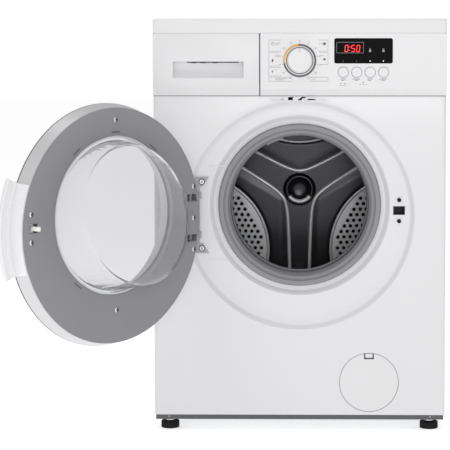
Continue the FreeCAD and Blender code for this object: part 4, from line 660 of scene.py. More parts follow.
@dataclass
class Cabinet:
    """Painted case, worktop, base and feet."""

    shop: Workshop
    half_width: float = 300.0
    bottom: float = 33.0
    top: float = 693.0
    door_centre: float = 447.0
    porthole_centre: float = 467.0
    recess_radius: float = 236.0
    collar_radius: float = 186.0
    lip_radius: float = 167.5
    margin: float = 9.0
    steps: int = 160

    def build(self) -> None:
        """Make the case's pieces."""
        self.front_panel()
        self.hinge_pad()
        self.seams()
        shop = self.shop
        shop.eased_node("worktop", "cabinet", LAMINATE, 1.2, "white_laminate", 3)
        shop.eased_node("feet", "cabinet", FOOT, 1.4, "foot_black", 3)
        shop.eased_node("foot_locknuts", "cabinet", ZINC, 0.5, "zinc_steel")
        shop.eased_node("plinth_strip", "cabinet", PLINTH, 0.4, "plinth_grey")
        shop.eased_node("rear_cover", "cabinet", GALVANISED, 0.5, "galvanised")
        self.rear_details()

    def _plate(self, form: Form) -> None:
        """Grow the flat front, its returns and its rounded edges out of the recess's rim.

        Args:
            form: The form that holds the pressed recess.
        """
        rim = [e for e in form.bm.edges if e.is_boundary and all(
            abs(v.co.y) < 1e-3 for v in e.verts)]
        grown = bmesh.ops.extrude_edge_only(form.bm, edges=rim)["geom"]
        border = [g for g in grown if isinstance(g, bmesh.types.BMVert)]
        wide = self.half_width - self.margin
        low, high = self.bottom + self.margin, self.top - self.margin
        for vert in border:
            run, rise = vert.co.x, vert.co.z - self.door_centre
            limits = [wide / abs(run)] if abs(run) > 1e-6 else []
            if abs(rise) > 1e-6:
                limits.append((high if rise > 0 else low) / rise - self.door_centre / rise)
            stretch = min(limits)
            vert.co.x, vert.co.z = run * stretch, self.door_centre + rise * stretch
        for x in (-wide, wide):
            for z in (low, high):
                corner = Vector((x, 0.0, z))
                nearest = min(border, key=lambda v: (v.co - corner).length)
                nearest.co = corner
        inner = [g for g in grown if isinstance(g, bmesh.types.BMEdge) and g.is_boundary]
        grown = bmesh.ops.extrude_edge_only(form.bm, edges=inner)["geom"]
        for vert in (g for g in grown if isinstance(g, bmesh.types.BMVert)):
            if abs(abs(vert.co.x) - wide) < 1e-3:
                vert.co.x = math.copysign(self.half_width, vert.co.x)
            if abs(vert.co.z - low) < 1e-3:
                vert.co.z = self.bottom
            elif abs(vert.co.z - high) < 1e-3:
                vert.co.z = self.top
        outer = [g for g in grown if isinstance(g, bmesh.types.BMEdge) and g.is_boundary]
        side = bmesh.ops.extrude_edge_only(form.bm, edges=outer)["geom"]
        bmesh.ops.translate(form.bm, vec=(0.0, 22.0, 0.0),
                            verts=[g for g in side if isinstance(g, bmesh.types.BMVert)])
        left_right = form.edges_where(lambda a, b: abs(abs(a.x) - self.half_width) < 1e-3 and
                                      abs(abs(b.x) - self.half_width) < 1e-3 and
                                      abs(a.y) < 1e-3 and abs(b.y) < 1e-3)
        form.bevel(left_right, 5.0, 5)
        bottom_top = form.edges_where(lambda a, b: abs(a.y) < 1e-3 and abs(b.y) < 1e-3 and any(
            abs(a.z - z) < 1e-3 and abs(b.z - z) < 1e-3 for z in (self.bottom, self.top)))
        form.bevel(bottom_top, 1.2, 2)

    def front_panel(self) -> None:
        """Press the front panel: flat sheet, door recess, collar and lip."""
        form = Form()
        recess = rounded_profile([(244.0, 0.0, 0.0), (self.recess_radius, 0.0, 4.0),
                                  (228.0, 10.0, 4.0), (220.0, 10.0, 0.0)])
        collar = rounded_profile([(194.5, 10.0, 0.0), (self.collar_radius, 10.0, 4.0),
                                  (178.0, 22.0, 4.0), (self.lip_radius, 22.0, 1.5),
                                  (self.lip_radius, 36.0, 0.0)])
        form.lathe(recess, 0.0, self.door_centre, steps=self.steps, closed=False)
        form.lathe(collar, 0.0, self.porthole_centre, steps=self.steps, closed=False)
        floor = [e for e in form.bm.edges if e.is_boundary and all(
            abs(v.co.y - 10.0) < 1e-3 for v in e.verts)]
        bmesh.ops.bridge_loops(form.bm, edges=floor)
        self._plate(form)
        form.tidy()
        inward = sum(f.normal.y * f.calc_area() for f in form.bm.faces) > 0
        if inward:
            bmesh.ops.reverse_faces(form.bm, faces=form.bm.faces[:])
        bmesh.ops.solidify(form.bm, geom=form.bm.faces[:], thickness=1.0)
        bmesh.ops.recalc_face_normals(form.bm, faces=form.bm.faces[:])
        holes = Form()
        holes.disc(143.4, 101.2, 61.0, (-4.0, 6.0), 96)
        holes.box((204.9 - 10.8, 204.9 + 10.8), (6.0, 14.0), (456.5 - 7.7, 456.5 + 7.7))
        holes.tidy()
        self.shop.carved(form, holes, "front_panel_pressing", "cabinet", ENAMEL, ("front_panel",),
                         "painted_panel")

    def hinge_pad(self) -> None:
        """Press the two short beads above and below the hinge."""
        form = Form()
        for z, width in ((354.7, 36.0), (548.4, 30.0)):
            form.box((-186.0, -186.0 + width), (9.3, 10.4), (z - 1.1, z + 1.1), 0.5, 2)
        self.shop.piece(form, "hinge_pad_beads", "cabinet", ENAMEL, slot="painted_panel")

    def seams(self) -> None:
        """Lay dark strips, rings and discs as painted shade in the narrow gaps between the front's pieces, round the
        flap, in its notch, at the catch and round the ear screws, and a white tab in the notch.
        """
        lines = Form()
        lines.box((-299.2, 299.2), (-7.4, 2.0), (819.7, 821.0))
        lines.box((-298.6, 298.6), (-0.25, 2.0), (692.3, 693.5))
        self.shop.piece(lines, "front_seam_shadows", "cabinet", SEAM_SHADOW)
        ring = Form()
        ring.lathe([(60.35, -0.12), (61.5, -0.12), (61.5, 0.3), (60.35, 0.3)], 143.4, 101.2, steps=96)
        self.shop.piece(ring.tidy(), "flap_gap_shadow", "cabinet", SEAM_SHADOW_SOFT)
        notch = Form()
        notch.box((133.2, 153.6), (0.9, 1.6), (149.4, 161.4))
        notch.box((133.2, 153.6), (-0.1, 0.9), (149.4, 151.6), 0.2, 1)
        for x in (133.2, 151.5):
            notch.box((x, x + 2.1), (-0.1, 0.9), (149.4, 158.6), 0.2, 1)
        self.shop.piece(notch, "flap_notch_shade", "filter_flap", SEAM_SHADOW)
        tab = Form()
        tab.box((136.0, 150.8), (-0.05, 1.4), (152.3, 160.9), 0.3, 2)
        self.shop.piece(tab, "flap_notch_tab", "filter_flap", MOULDED_WHITE)
        catch = Form()
        for z in (456.5 - 21.8, 456.5 + 21.8):
            catch.disc(204.9, z, 4.2, (6.9, 9.95), 20)
        self.shop.piece(catch, "catch_shade", "cabinet", HOLE_SHADOW)
        surround = Form()
        for x in ((192.8, 194.1), (215.7, 217.0)):
            surround.box(x, (9.6, 9.95), (447.5, 465.5))
        for z in ((447.5, 448.8), (464.2, 465.5)):
            surround.box((192.8, 217.0), (9.6, 9.95), z)
        self.shop.piece(surround, "catch_surround_shadow", "cabinet", SEAM_SHADOW)
        screws = Form()
        for z in (self.door_centre - 68.8, self.door_centre + 68.8):
            for inner, outer in ((4.6, 6.4), (1.4, 2.4)):
                screws.lathe([(inner, 4.6), (outer, 4.6), (outer, 8.0), (inner, 8.0)], -201.4, z, steps=28)
        self.shop.piece(screws.tidy(), "ear_screw_shade_rings", "cabinet", SEAM_SHADOW)

    def rear_details(self) -> None:
        """Add dark strips as painted shade in the louvre gaps, and transit bolt caps, to the rear panel."""
        low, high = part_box("rear_panel")
        face = (high.y - self.shop.front) / MM
        slots = Form()
        for side in (-1, 1):
            for row in range(6):
                z = 700.0 + row * 14.0
                middle = side * 75.0
                slots.box((middle - 35.0, middle + 35.0), (face - 0.2, face + 0.5), (z - 1.6, z + 1.6),
                          0.3, 1)
        self.shop.piece(slots, "rear_louvre_gap_shadows", "cabinet", HOLE_SHADOW)
        caps = Form()
        for x in (-215.0, 215.0):
            for z in (190.0, 690.0):
                profile = rounded_profile([(0.0, face + 4.5, 0.0), (11.0, face + 4.5, 2.0),
                                           (13.0, face, 0.0), (0.0, face, 0.0)])
                caps.lathe(profile, x, z, steps=32)
        caps.tidy()
        self.shop.piece(caps, "transit_bolt_caps", "cabinet", BLACK, slot="black_plastic")


@dataclass
class Controls:
    """Fascia, knob, display, buttons and their printed legends."""

    shop: Workshop
    face: float = -8.0
    knob: Point = (0.0, 765.0)
    buttons: tuple[float, ...] = (88.8, 116.3, 143.8, 171.3)
    button_row: float = 741.2
    legend: tuple[float, float, float, float] = (-63.0, 57.7, 722.9, 806.7)
    digit_height: float = 14.6
    digit_width: float = 7.6
    stroke: float = 1.6

    def build(self) -> None:
        """Make the controls' pieces."""
        shop = self.shop
        shop.eased_node("control_fascia", "cabinet", MOULDED_WHITE, 0.8, "white_gloss", 3)
        shop.eased_node("display_window", "cabinet", DISPLAY, 0.25, "display_black")
        for number in range(1, 5):
            shop.eased_node(f"button_{number}", f"button_{number}", MOULDED_WHITE, 0.3, "white_gloss")
        self.selector()
        self.dial_print()
        self.legend_frames()
        self.display()
        self.button_marks()

    def selector(self) -> None:
        """Turn the programme knob and a dark ring of painted shade in its groove."""
        x, z = self.knob
        form = Form()
        form.lathe(rounded_profile([
            (0.0, -23.6, 0.0), (19.0, -23.9, 3.0), (25.0, -24.3, 3.2), (25.2, -12.4, 0.6),
            (26.2, -11.3, 0.4), (28.0, -11.3, 1.0), (28.0, -8.3, 0.0), (3.0, -8.3, 0.0),
            (3.0, 19.7, 0.0), (0.0, 19.7, 0.0)]), x, z, steps=96)
        self.shop.piece(form.tidy(), "programme_knob", "knob", MOULDED_WHITE, ("knob",), "white_gloss")
        # The dark print finish here is painted shade in the knob's side groove.
        groove = Form()
        groove.lathe([(25.5, -11.5), (27.7, -11.5), (27.7, -11.2), (25.5, -11.2)], x, z, steps=96)
        self.shop.piece(groove.tidy(), "knob_groove_shade_ring", "knob", PRINT_DARK)
        mark = Form()
        mark.box((x - 0.7, x + 0.7), (-24.15, -23.4), (z + 17.5, z + 22.5), 0.25, 1)
        self.shop.piece(mark, "knob_pointer", "knob", PRINT_LIGHT)

    def dial_print(self) -> None:
        """Print the ring round the knob, its warm sector, its ticks and numbers."""
        x, z = self.knob
        front = self.face - 0.14
        ring = Form()
        ring.lathe([(30.0, front), (33.9, front), (33.9, self.face), (30.0, self.face)], x, z,
                   start=190.0, sweep=265.0, steps=96)
        self.shop.piece(ring.tidy(), "dial_ring_dark", "cabinet", PRINT_DARK)
        warm = Form()
        warm.lathe([(30.0, front), (33.9, front), (33.9, self.face), (30.0, self.face)], x, z,
                   start=95.0, sweep=95.0, steps=40)
        self.shop.piece(warm.tidy(), "dial_ring_amber", "cabinet", PRINT_AMBER)
        numbers = ("15", "30", "20", "40", "60", "90", "0", "60", "40", "30", "90", "60", "40", "20")
        ticks = Form()
        for index, text in enumerate(numbers):
            angle = 64.0 - index * 360.0 / len(numbers)
            for reach in (35.6, 37.2):
                dx, dz = polar(reach, angle)
                ticks.box((x + dx - 0.45, x + dx + 0.45), (front, self.face), (z + dz - 0.45, z + dz + 0.45))
            if text != "0":
                dx, dz = polar(40.2, angle)
                self.shop.label(text, f"dial_number_{index}", "cabinet", PRINT_DARK,
                                (x + dx * 1.04, front, z + dz), 4.2)
        self.shop.piece(ticks, "dial_ticks", "cabinet", PRINT_DARK)

    def _frame(self, form: Form, x: Point, z: Point, line: float = 0.55) -> None:
        """Add the four thin lines of a rectangle.

        Args:
            form: Form that they are added to.
            x: Left and right.
            z: Bottom and top.
            line: Width of the lines.
        """
        front = self.face - 0.1
        for level in z:
            form.box(x, (front, self.face), (level - line / 2, level + line / 2))
        for edge in x:
            form.box((edge - line / 2, edge + line / 2), (front, self.face), z)

    def legend_frames(self) -> None:
        """Print the boxes and small signs beside the dial."""
        left, right, low, high = self.legend
        form = Form()
        boxes = (((left, -38.0), (784.0, high)), ((left, -42.0), (754.0, 781.0)),
                 ((left, -38.0), (733.5, 751.0)), ((left, -16.0), (low, 731.0)),
                 ((38.0, right), (784.0, high)), ((42.0, right), (757.0, 781.0)),
                 ((20.0, right), (low, 731.0)))
        front = self.face - 0.1
        for (x0, x1), (z0, z1) in boxes:
            outside = x0 if x0 < 0 else x1
            form.box((outside - 0.28, outside + 0.28), (front, self.face), (z0, z1))
            for level in (z0, z1):
                form.box((x0, x1), (front, self.face), (level - 0.28, level + 0.28))
        self.shop.piece(form, "legend_lines", "cabinet", PRINT_DARK)
        signs = Form()
        signs.lathe([(2.6, front), (3.2, front), (3.2, self.face), (2.6, self.face)], -55.5, 799.0,
                    steps=24)
        signs.box((-55.8, -55.2), (front, self.face), (799.0, 801.4))
        signs.prism([(-57.5, 764.0), (-53.5, 764.0), (-55.5, 769.5)], (front, self.face))
        signs.disc(-55.5, 764.2, 2.0, (front, self.face), 16)
        signs.box((-58.0, -53.0), (front, self.face), (742.0, 743.0))
        signs.box((-56.0, -55.0), (front, self.face), (739.5, 746.0))
        signs.disc(50.5, 799.0, 3.0, (front, self.face), 20)
        signs.prism([(47.5, 765.5), (53.5, 765.5), (52.0, 770.0), (49.0, 770.0)], (front, self.face))
        for row, (z, width) in enumerate(((800.6, 13.0), (797.6, 9.0), (776.0, 8.0), (773.0, 10.0),
                                          (746.4, 7.0), (728.2, 24.0), (725.6, 18.0))):
            for column in range(max(2, int(width / 2.6))):
                start = -49.5 + column * 2.6
                if start + 1.6 < -38.5 or z < 731.0:
                    signs.box((start, start + 1.7), (front, self.face), (z - 0.5, z + 0.5))
            if row in (0, 2, 5):
                for column in range(4):
                    start = 40.0 + column * 2.4 if z > 731.0 else 24.0 + column * 2.6
                    signs.box((start, start + 1.5), (front, self.face), (z - 1.6, z - 0.6))
        self.shop.piece(signs.tidy(), "legend_signs", "cabinet", PRINT_DARK)

    def _digit(self, form: Form, lit: str, x: float, z: float) -> None:
        """Add the lit segments of one figure.

        Args:
            form: Form that they are added to.
            lit: Segment letters, a to g.
            x: Left edge of the figure.
            z: Its foot.
        """
        w, h, t = self.digit_width, self.digit_height, self.stroke
        bars = {"a": (t * 0.6, w - t * 0.6, h - t, h), "g": (t * 0.6, w - t * 0.6, (h - t) / 2, (h + t) / 2),
                "d": (t * 0.6, w - t * 0.6, 0.0, t), "f": (0.0, t, h / 2 + 0.3, h - t * 0.6),
                "b": (w - t, w, h / 2 + 0.3, h - t * 0.6), "e": (0.0, t, t * 0.6, h / 2 - 0.3),
                "c": (w - t, w, t * 0.6, h / 2 - 0.3)}
        lean = 0.1
        front, back = self.face - 0.55, self.face - 0.3
        for letter in lit:
            x0, x1, z0, z1 = bars[letter]
            outline = [(x + x0 + lean * z0, z + z0), (x + x1 + lean * z0, z + z0),
                       (x + x1 + lean * z1, z + z1), (x + x0 + lean * z1, z + z1)]
            form.prism(outline, (front, back))

    def display(self) -> None:
        """Light the time and draw the small signs on the dark window."""
        red = Form()
        for lit, x in (("abcdef", 91.0), ("afgcd", 104.2), ("abcdef", 114.8)):
            self._digit(red, lit, x, 782.2)
        for z in (786.0, 792.4):
            red.box((100.6 + (z - 782.0) * 0.1, 102.3 + (z - 782.0) * 0.1),
                    (self.face - 0.55, self.face - 0.3), (z - 0.9, z + 0.9))
        self.shop.piece(red.tidy(), "display_time", "cabinet", LIT_RED)
        front, back = self.face - 0.45, self.face - 0.3
        lines = Form()
        for x0, x1, z0, z1 in ((75.0, 130.4, 780.2, 780.8), (75.0, 130.4, 801.8, 802.4),
                               (75.0, 75.6, 780.2, 802.4), (129.8, 130.4, 780.2, 802.4)):
            lines.box((x0, x1), (front, back), (z0, z1))
        for x in (143.4, 170.6):
            lines.prism([(x - 2.6, 782.6), (x + 2.6, 782.6), (x + 1.6, 787.2), (x - 1.6, 787.2)],
                        (front, back))
            lines.lathe([(0.9, front), (1.5, front), (1.5, back), (0.9, back)], x, 788.4, steps=16)
        self.shop.piece(lines.tidy(), "display_signs", "cabinet", PRINT_LIGHT)
        dim, lit = Form(), Form()
        for x in (88.8, 115.6):
            dim.disc(x, 764.0, 0.9, (front, back), 12)
        for x in (143.6, 170.6):
            lit.disc(x, 764.0, 1.1, (front, back), 12)
        self.shop.piece(dim, "display_dots_dim", "cabinet", UNLIT_DOT_GLOW)
        self.shop.piece(lit, "display_dots_lit", "cabinet", LIT_WHITE)

    def button_marks(self) -> None:
        """Print a thin ring round each button and a sign below it."""
        front = self.face - 0.1
        rings, signs = Form(), Form()
        for index, x in enumerate(self.buttons):
            rings.lathe([(10.7, front), (11.15, front), (11.15, self.face), (10.7, self.face)], x,
                        self.button_row, steps=48)
            for row, reach in enumerate((5.5 + index % 2 * 3.0, 4.0)):
                z = 727.3 - row * 2.7
                for column in range(int(reach * 2 / 2.2)):
                    start = x - reach + column * 2.2
                    signs.box((start, start + 1.5), (front, self.face), (z - 0.75, z + 0.75))
        for x, z in ((84.0, 718.0), (92.5, 718.0), (130.0, 720.5)):
            signs.disc(x, z, 1.2, (front, self.face), 12)
        for x, z in ((81.0, 714.0), (86.0, 714.0), (91.0, 714.0), (122.0, 716.5), (128.0, 716.5),
                     (134.0, 716.5)):
            signs.box((x, x + 3.6), (front, self.face), (z - 0.4, z + 0.4))
        self.shop.piece(rings.tidy(), "button_rings", "cabinet", PRINT_LIGHT)
        self.shop.piece(signs, "button_signs", "cabinet", PRINT_DARK)


@dataclass
class Drawer:
    """Detergent drawer front with its grip, and the tray behind it."""

    shop: Workshop
    left: float = -300.0
    right: float = -82.85
    low: float = 693.0
    high: float = 820.5
    grip: tuple[float, float, float, float] = (-259.0, -114.6, 728.8, 762.8)

    def build(self) -> None:
        """Make the drawer's pieces."""
        self.front()
        self.shop.eased_node("drawer_tray", "drawer", DRAWER_GREY, 0.4, "drawer_grey")

    def front(self) -> None:
        """Mould the drawer front and sink its grip pocket into it."""
        form = Form()
        form.bar_x([(0.0, self.low), (-8.0, self.low + 13.0), (-8.0, self.high), (12.0, self.high),
                    (12.0, self.low)], (self.left, self.right)).tidy()
        outer = form.edges_where(lambda a, b: min(a.y, b.y) < -7.9 and (abs(a.x - b.x) < 1e-3 or
                                                                       min(a.z, b.z) > self.high - 1))
        form.bevel(outer, 1.0, 3)
        x0, x1, z0, z1 = self.grip
        pocket = Form()
        pocket.bar_x([(-9.0, z0 - 0.7), (-7.0, z0 + 0.6), (0.6, z0 + 7.0), (4.6, z0 + 12.5), (6.0, z0 + 19.0),
                      (6.0, z1), (-9.0, z1)], (x0, x1)).tidy()
        ends = pocket.edges_where(lambda a, b: abs(a.z - b.z) > 2.0 and min(a.y, b.y) > -7.5 and
                                  abs(a.x - b.x) < 1e-3)
        pocket.bevel(ends, 4.5, 4)
        body = form
        hollow = Form()
        hollow.box((self.left + 2.5, x0 - 2.5), (-5.5, 13.0), (self.low + 16.0, self.high - 2.5))
        hollow.box((x1 + 2.5, self.right - 2.5), (-5.5, 13.0), (self.low + 16.0, self.high - 2.5))
        hollow.box((x0 - 1.0, x1 + 1.0), (-5.5, 13.0), (z1 + 14.0, self.high - 2.5))
        finger = Form()
        finger.box((-231.0, -125.0), (-2.0, 6.0), (z1 - 1.0, z1 + 10.0))
        for part in (hollow, finger):
            mesh = bpy.data.meshes.new("tool")
            part.bm.to_mesh(mesh)
            part.bm.free()
            pocket.bm.from_mesh(mesh)
            bpy.data.meshes.remove(mesh)
        bmesh.ops.recalc_face_normals(pocket.bm, faces=pocket.bm.faces[:])
        self.shop.carved(body, pocket, "drawer_front_moulding", "drawer", MOULDED_WHITE,
                         ("drawer_front",), "white_gloss")
        dark = Form()
        dark.box((-231.0, -125.0), (4.6, 5.9), (z1 - 2.3, z1 - 0.4), 0.3, 1)
        for x in (-222.0, -203.0, -178.0):
            dark.box((x, x + 10.0), (4.2, 5.8), (z1 - 3.1, z1 - 0.2), 0.3, 1)
        self.shop.piece(dark, "grip_slot_shadow", "drawer", SEAM_SHADOW)


@dataclass
class Door:
    """Round door with its glass bowl, inner ring, handle and hook."""

    shop: Workshop
    centre: float = 447.0
    porthole: float = 467.0
    ring_face: float = -3.0
    glass_opening: float = 153.3
    grip_from: float = -19.5
    grip_sweep: float = 42.5
    screws: tuple[Point, ...] = ((-210.7, 447.0), (-210.7, 511.0), (-210.7, 383.0), (208.9, 482.5),
                                 (208.9, 430.5), (0.0, 651.0), (0.0, 283.0))

    def build(self) -> None:
        """Make the door's pieces."""
        shop = self.shop
        shop.eased_node("door_frame", "door", DOOR_WHITE, 0.5, "door_white")
        shop.eased_node("door_inner_ring", "door", RING_GREY, 0.35, "grey_ring")
        shop.eased_node("door_glass", "door", GLASS, 1.1, "clear_glass", 3)
        shop.eased_node("door_hook", "door_hook", NYLON, 0.5, "hook_white")
        self.handle()
        self.rim()
        self.clip_slots()
        self.screw_holes()

    def handle(self) -> None:
        """Sweep the grip flange and its root along the catch side."""
        form = Form()
        flange = rounded_profile([(233.5, -36.0, 0.0), (262.0, -36.0, 1.6), (262.0, -27.0, 1.4),
                                  (258.6, -27.0, 1.2), (257.6, -30.8, 0.8), (246.5, -31.2, 0.0),
                                  (245.6, -29.6, 0.5), (236.2, -29.6, 0.5), (233.5, -31.0, 0.0)])
        form.lathe(flange, 0.0, self.centre, start=self.grip_from, sweep=self.grip_sweep, steps=44)
        root = rounded_profile([(228.4, -6.6, 0.0), (229.6, -6.6, 0.4), (237.0, -33.0, 0.6),
                                (234.6, -33.0, 0.0)])
        form.lathe(root, 0.0, self.centre, start=self.grip_from, sweep=self.grip_sweep, steps=44)
        form.tidy()
        self.shop.piece(form, "door_grip", "door", DOOR_WHITE, ("door_handle",), "door_white",
                        on_door=True)

    def rim(self) -> None:
        """Lay a dark ring as painted shadow in the gap between side band and bezel, and the bright line round the
        glass.
        """
        first, rest = self.grip_from + self.grip_sweep, FULL_TURN - self.grip_sweep
        band = Form()
        band.lathe([(227.0, -6.3), (227.7, -6.2), (235.5, -32.9), (234.6, -32.9)], 0.0, self.centre,
                   start=first, sweep=rest, steps=150)
        self.shop.piece(band.tidy(), "door_side_band", "door", SILVER, on_door=True)
        seam = Form()
        seam.lathe([(233.0, -32.9), (235.6, -32.9), (235.6, -35.8), (233.0, -35.8)], 0.0,
                   self.centre, start=first, sweep=rest, steps=150)
        self.shop.piece(seam.tidy(), "door_edge_shadow_gap", "door", SEAM_SHADOW, on_door=True)
        bead = Form()
        bead.lathe(rounded_profile([(149.6, -5.8, 0.0), (149.6, -3.4, 0.5), (152.6, -3.4, 0.5),
                                    (152.6, -5.8, 0.0)], 3), 0.0, self.porthole, steps=128)
        self.shop.piece(bead.tidy(), "glass_seal_bead", "door", DRAWER_GREY, on_door=True)

    def clip_slots(self) -> None:
        """Lay dark pieces as painted shade in the tangential clip slots of the inner ring, with grey lips beside
        them.
        """
        form, lips = Form(), Form()
        for angle in (90.0, 128.0, 52.0, 232.0, 308.0):
            for target, inner, outer, face in ((form, 159.5, 161.6, -2.94), (lips, 161.6, 162.3, -2.75)):
                target.lathe([(inner, face), (outer, face), (outer, -3.6), (inner, -3.6)], 0.0,
                             self.porthole, start=angle - 4.0, sweep=8.0, steps=6)
        self.shop.piece(form.tidy(), "ring_clip_slot_shades", "door", SEAM_SHADOW, on_door=True)
        self.shop.piece(lips.tidy(), "ring_clip_lips", "door", RING_GREY, on_door=True)


    def screw_holes(self) -> None:
        """Paint shade into the screw holes of the inner ring and a highlight on one side of each."""
        dark, lit = Form(), Form()
        for x, z in self.screws:
            dark.disc(x, z, 5.2, (-3.05, -2.85), 20)
            lit.lathe([(1.8, -2.88), (4.9, -2.88), (4.9, -2.78), (1.8, -2.78)], x, z, start=-85.0,
                      sweep=170.0, steps=12)
        self.shop.piece(dark, "ring_screw_hole_shades", "door", SEAM_SHADOW, on_door=True)
        # The crescents use the white nylon finish as painted highlight.
        self.shop.piece(lit.tidy(), "ring_screw_shine", "door", NYLON, on_door=True)


@dataclass
class DrumBack:
    """Pressed back wall of the drum: cup, three arms, beads and perforated fields."""

    shop: Workshop
    centre: float = 467.0
    depth: float = 450.0
    radius: float = 236.5
    field_distance: float = 281.0
    field_radius: float = 171.0
    field_angles: tuple[float, ...] = (90.0, 210.0, 330.0)
    apex: float = 43.0
    half_opening: float = 61.0
    field_drop: float = 3.0
    wedge_rise: float = 2.0
    hole_radius: float = 3.9
    pitch: float = 15.0

    def build(self) -> None:
        """Make the back wall's pieces."""
        self.wall()
        self.beads()
        self.holes()

    def _height(self, x: float, z: float) -> float:
        """Return how far the pressed wall stands forward at a place."""
        rise = 0.0
        for angle in self.field_angles:
            cx, cz = polar(self.field_distance, angle)
            inside = self.field_radius - math.hypot(x - cx, z - cz)
            step = max(0.0, min(1.0, (inside + 8.0) / 16.0))
            rise -= self.field_drop * step * step * (3 - 2 * step)
            ux, uz = polar(1.0, angle)
            along, across = x * ux + z * uz, abs(-x * uz + z * ux)
            wedge = (along - self.apex) * math.sin(math.radians(self.half_opening)) - across * math.cos(
                math.radians(self.half_opening))
            step = max(0.0, min(1.0, (wedge + 10.0) / 20.0))
            rise += self.wedge_rise * step * step * (3 - 2 * step)
        return rise

    def wall(self) -> None:
        """Press the wall out of a turned disc."""
        form = Form()
        rings = [33.0 + (self.radius - 33.0) * i / 64 for i in range(65)]
        cup = [(0.0, 449.0), (12.0, 448.6), (22.0, 446.0), (27.0, 442.6), (31.0, 441.6), (33.0, 443.5)]
        form.lathe(cup + [(r, self.depth - 3.0) for r in rings[1:]], 0.0, self.centre, steps=180,
                   closed=False)
        for vert in form.bm.verts:
            x, z = vert.co.x, vert.co.z - self.centre
            reach = math.hypot(x, z)
            if reach > 34.0:
                fade = min(1.0, (reach - 34.0) / 14.0) * min(1.0, max(0.0, (self.radius - reach) / 9.0))
                vert.co.y -= self._height(x, z) * fade
        bmesh.ops.solidify(form.bm, geom=form.bm.faces[:], thickness=1.0)
        form.tidy()
        # The pressed wall takes the near-black finish as painted shade.
        self.shop.piece(form, "drum_back_pressing", "drum", DRUM_BACK_PAINTED_DARK, ("drum_back_wall",),
                        "stainless", smooth=60.0)

    def _bead(self, form: Form, line: Sequence[Point], width: float, height: float, lift: float) -> None:
        """Sweep a low rounded bead along a line on the wall.

        Args:
            form: Form that it is added to.
            line: (x, z) points from the drum's axis.
            width: Width of the bead.
            height: How far it stands up.
            lift: Extra lift off the wall.
        """
        section = [(-0.5, 0.0), (-0.36, 0.62), (0.0, 1.0), (0.36, 0.62), (0.5, 0.0)]
        loops = []
        for index, (x, z) in enumerate(line):
            before, after = line[max(0, index - 1)], line[min(len(line) - 1, index + 1)]
            run = Vector((after[0] - before[0], after[1] - before[1])).normalized()
            normal = Vector((-run.y, run.x))
            base = self.depth - 3.0 - self._height(x, z) - lift
            loops.append([form.bm.verts.new((x + normal.x * s * width, base - h * height,
                                             self.centre + z + normal.y * s * width))
                          for s, h in section])
        rims = []
        for loop in loops:
            rims.append([form.bm.edges.new(pair) for pair in zip(loop, loop[1:])])
        for first, second in zip(rims, rims[1:]):
            bmesh.ops.bridge_loops(form.bm, edges=first + second)

    def beads(self) -> None:
        """Lay the beads of the three arms and of the three fields, coloured near white as a painted highlight."""
        form = Form()
        for angle in self.field_angles:
            side = math.radians(90.0 - self.half_opening)
            line: list[Point] = []
            for reach in [x * 6.0 for x in range(-38, 39)]:
                bend = 26.0
                along = self.apex + math.sqrt(reach * reach + bend * bend) * math.tan(side) - bend * math.tan(side)
                ux, uz = polar(1.0, angle)
                x, z = along * ux - reach * uz, along * uz + reach * ux
                if math.hypot(x, z) < self.radius - 6.0:
                    line.append((x, z))
            self._bead(form, line, 7.6, 3.0, 0.4)
            cx, cz = polar(self.field_distance, angle)
            arc: list[Point] = []
            for step in range(-30, 31):
                dx, dz = polar(self.field_radius, angle + 180.0 + step * 2.0)
                if math.hypot(cx + dx, cz + dz) < self.radius - 4.0:
                    arc.append((cx + dx, cz + dz))
            self._bead(form, arc, 6.2, 2.6, 0.4)
        cup = rounded_profile([(24.0, 442.5, 0.0), (27.5, 440.2, 2.0), (31.5, 440.6, 2.0),
                               (33.5, 444.0, 0.0)])
        form.lathe(cup, 0.0, self.centre, start=215.0, sweep=110.0, steps=40, closed=False)
        form.tidy()
        self.shop.piece(form, "drum_back_beads", "drum", DRUM_PAINTED_HIGHLIGHT, slot="stainless", smooth=60.0)

    def holes(self) -> None:
        """Lay the field plates, dark discs as painted shade in the staggered holes of the three fields, and each
        hole's rolled edge coloured as painted highlight.
        """
        lit_plates, shaded, dark, rims = Form(), Form(), Form(), Form()
        for angle in self.field_angles:
            cx, cz = polar(self.field_distance, angle)
            line = []
            for step in range(-32, 33):
                dx, dz = polar(self.field_radius - 4.0, angle + 180.0 + step * 2.0)
                if math.hypot(cx + dx, cz + dz) < self.radius - 8.0:
                    line.append((cx + dx, cz + dz))
            edge = [polar(self.radius - 8.0, math.degrees(math.atan2(line[-1][1], line[-1][0])))]
            first = math.degrees(math.atan2(line[0][1], line[0][0]))
            last = math.degrees(math.atan2(line[-1][1], line[-1][0]))
            sweep = (first - last + 540.0) % 360.0 - 180.0
            edge = [polar(self.radius - 8.0, last + sweep * i / 24) for i in range(1, 24)]
            level = self.depth - 3.0
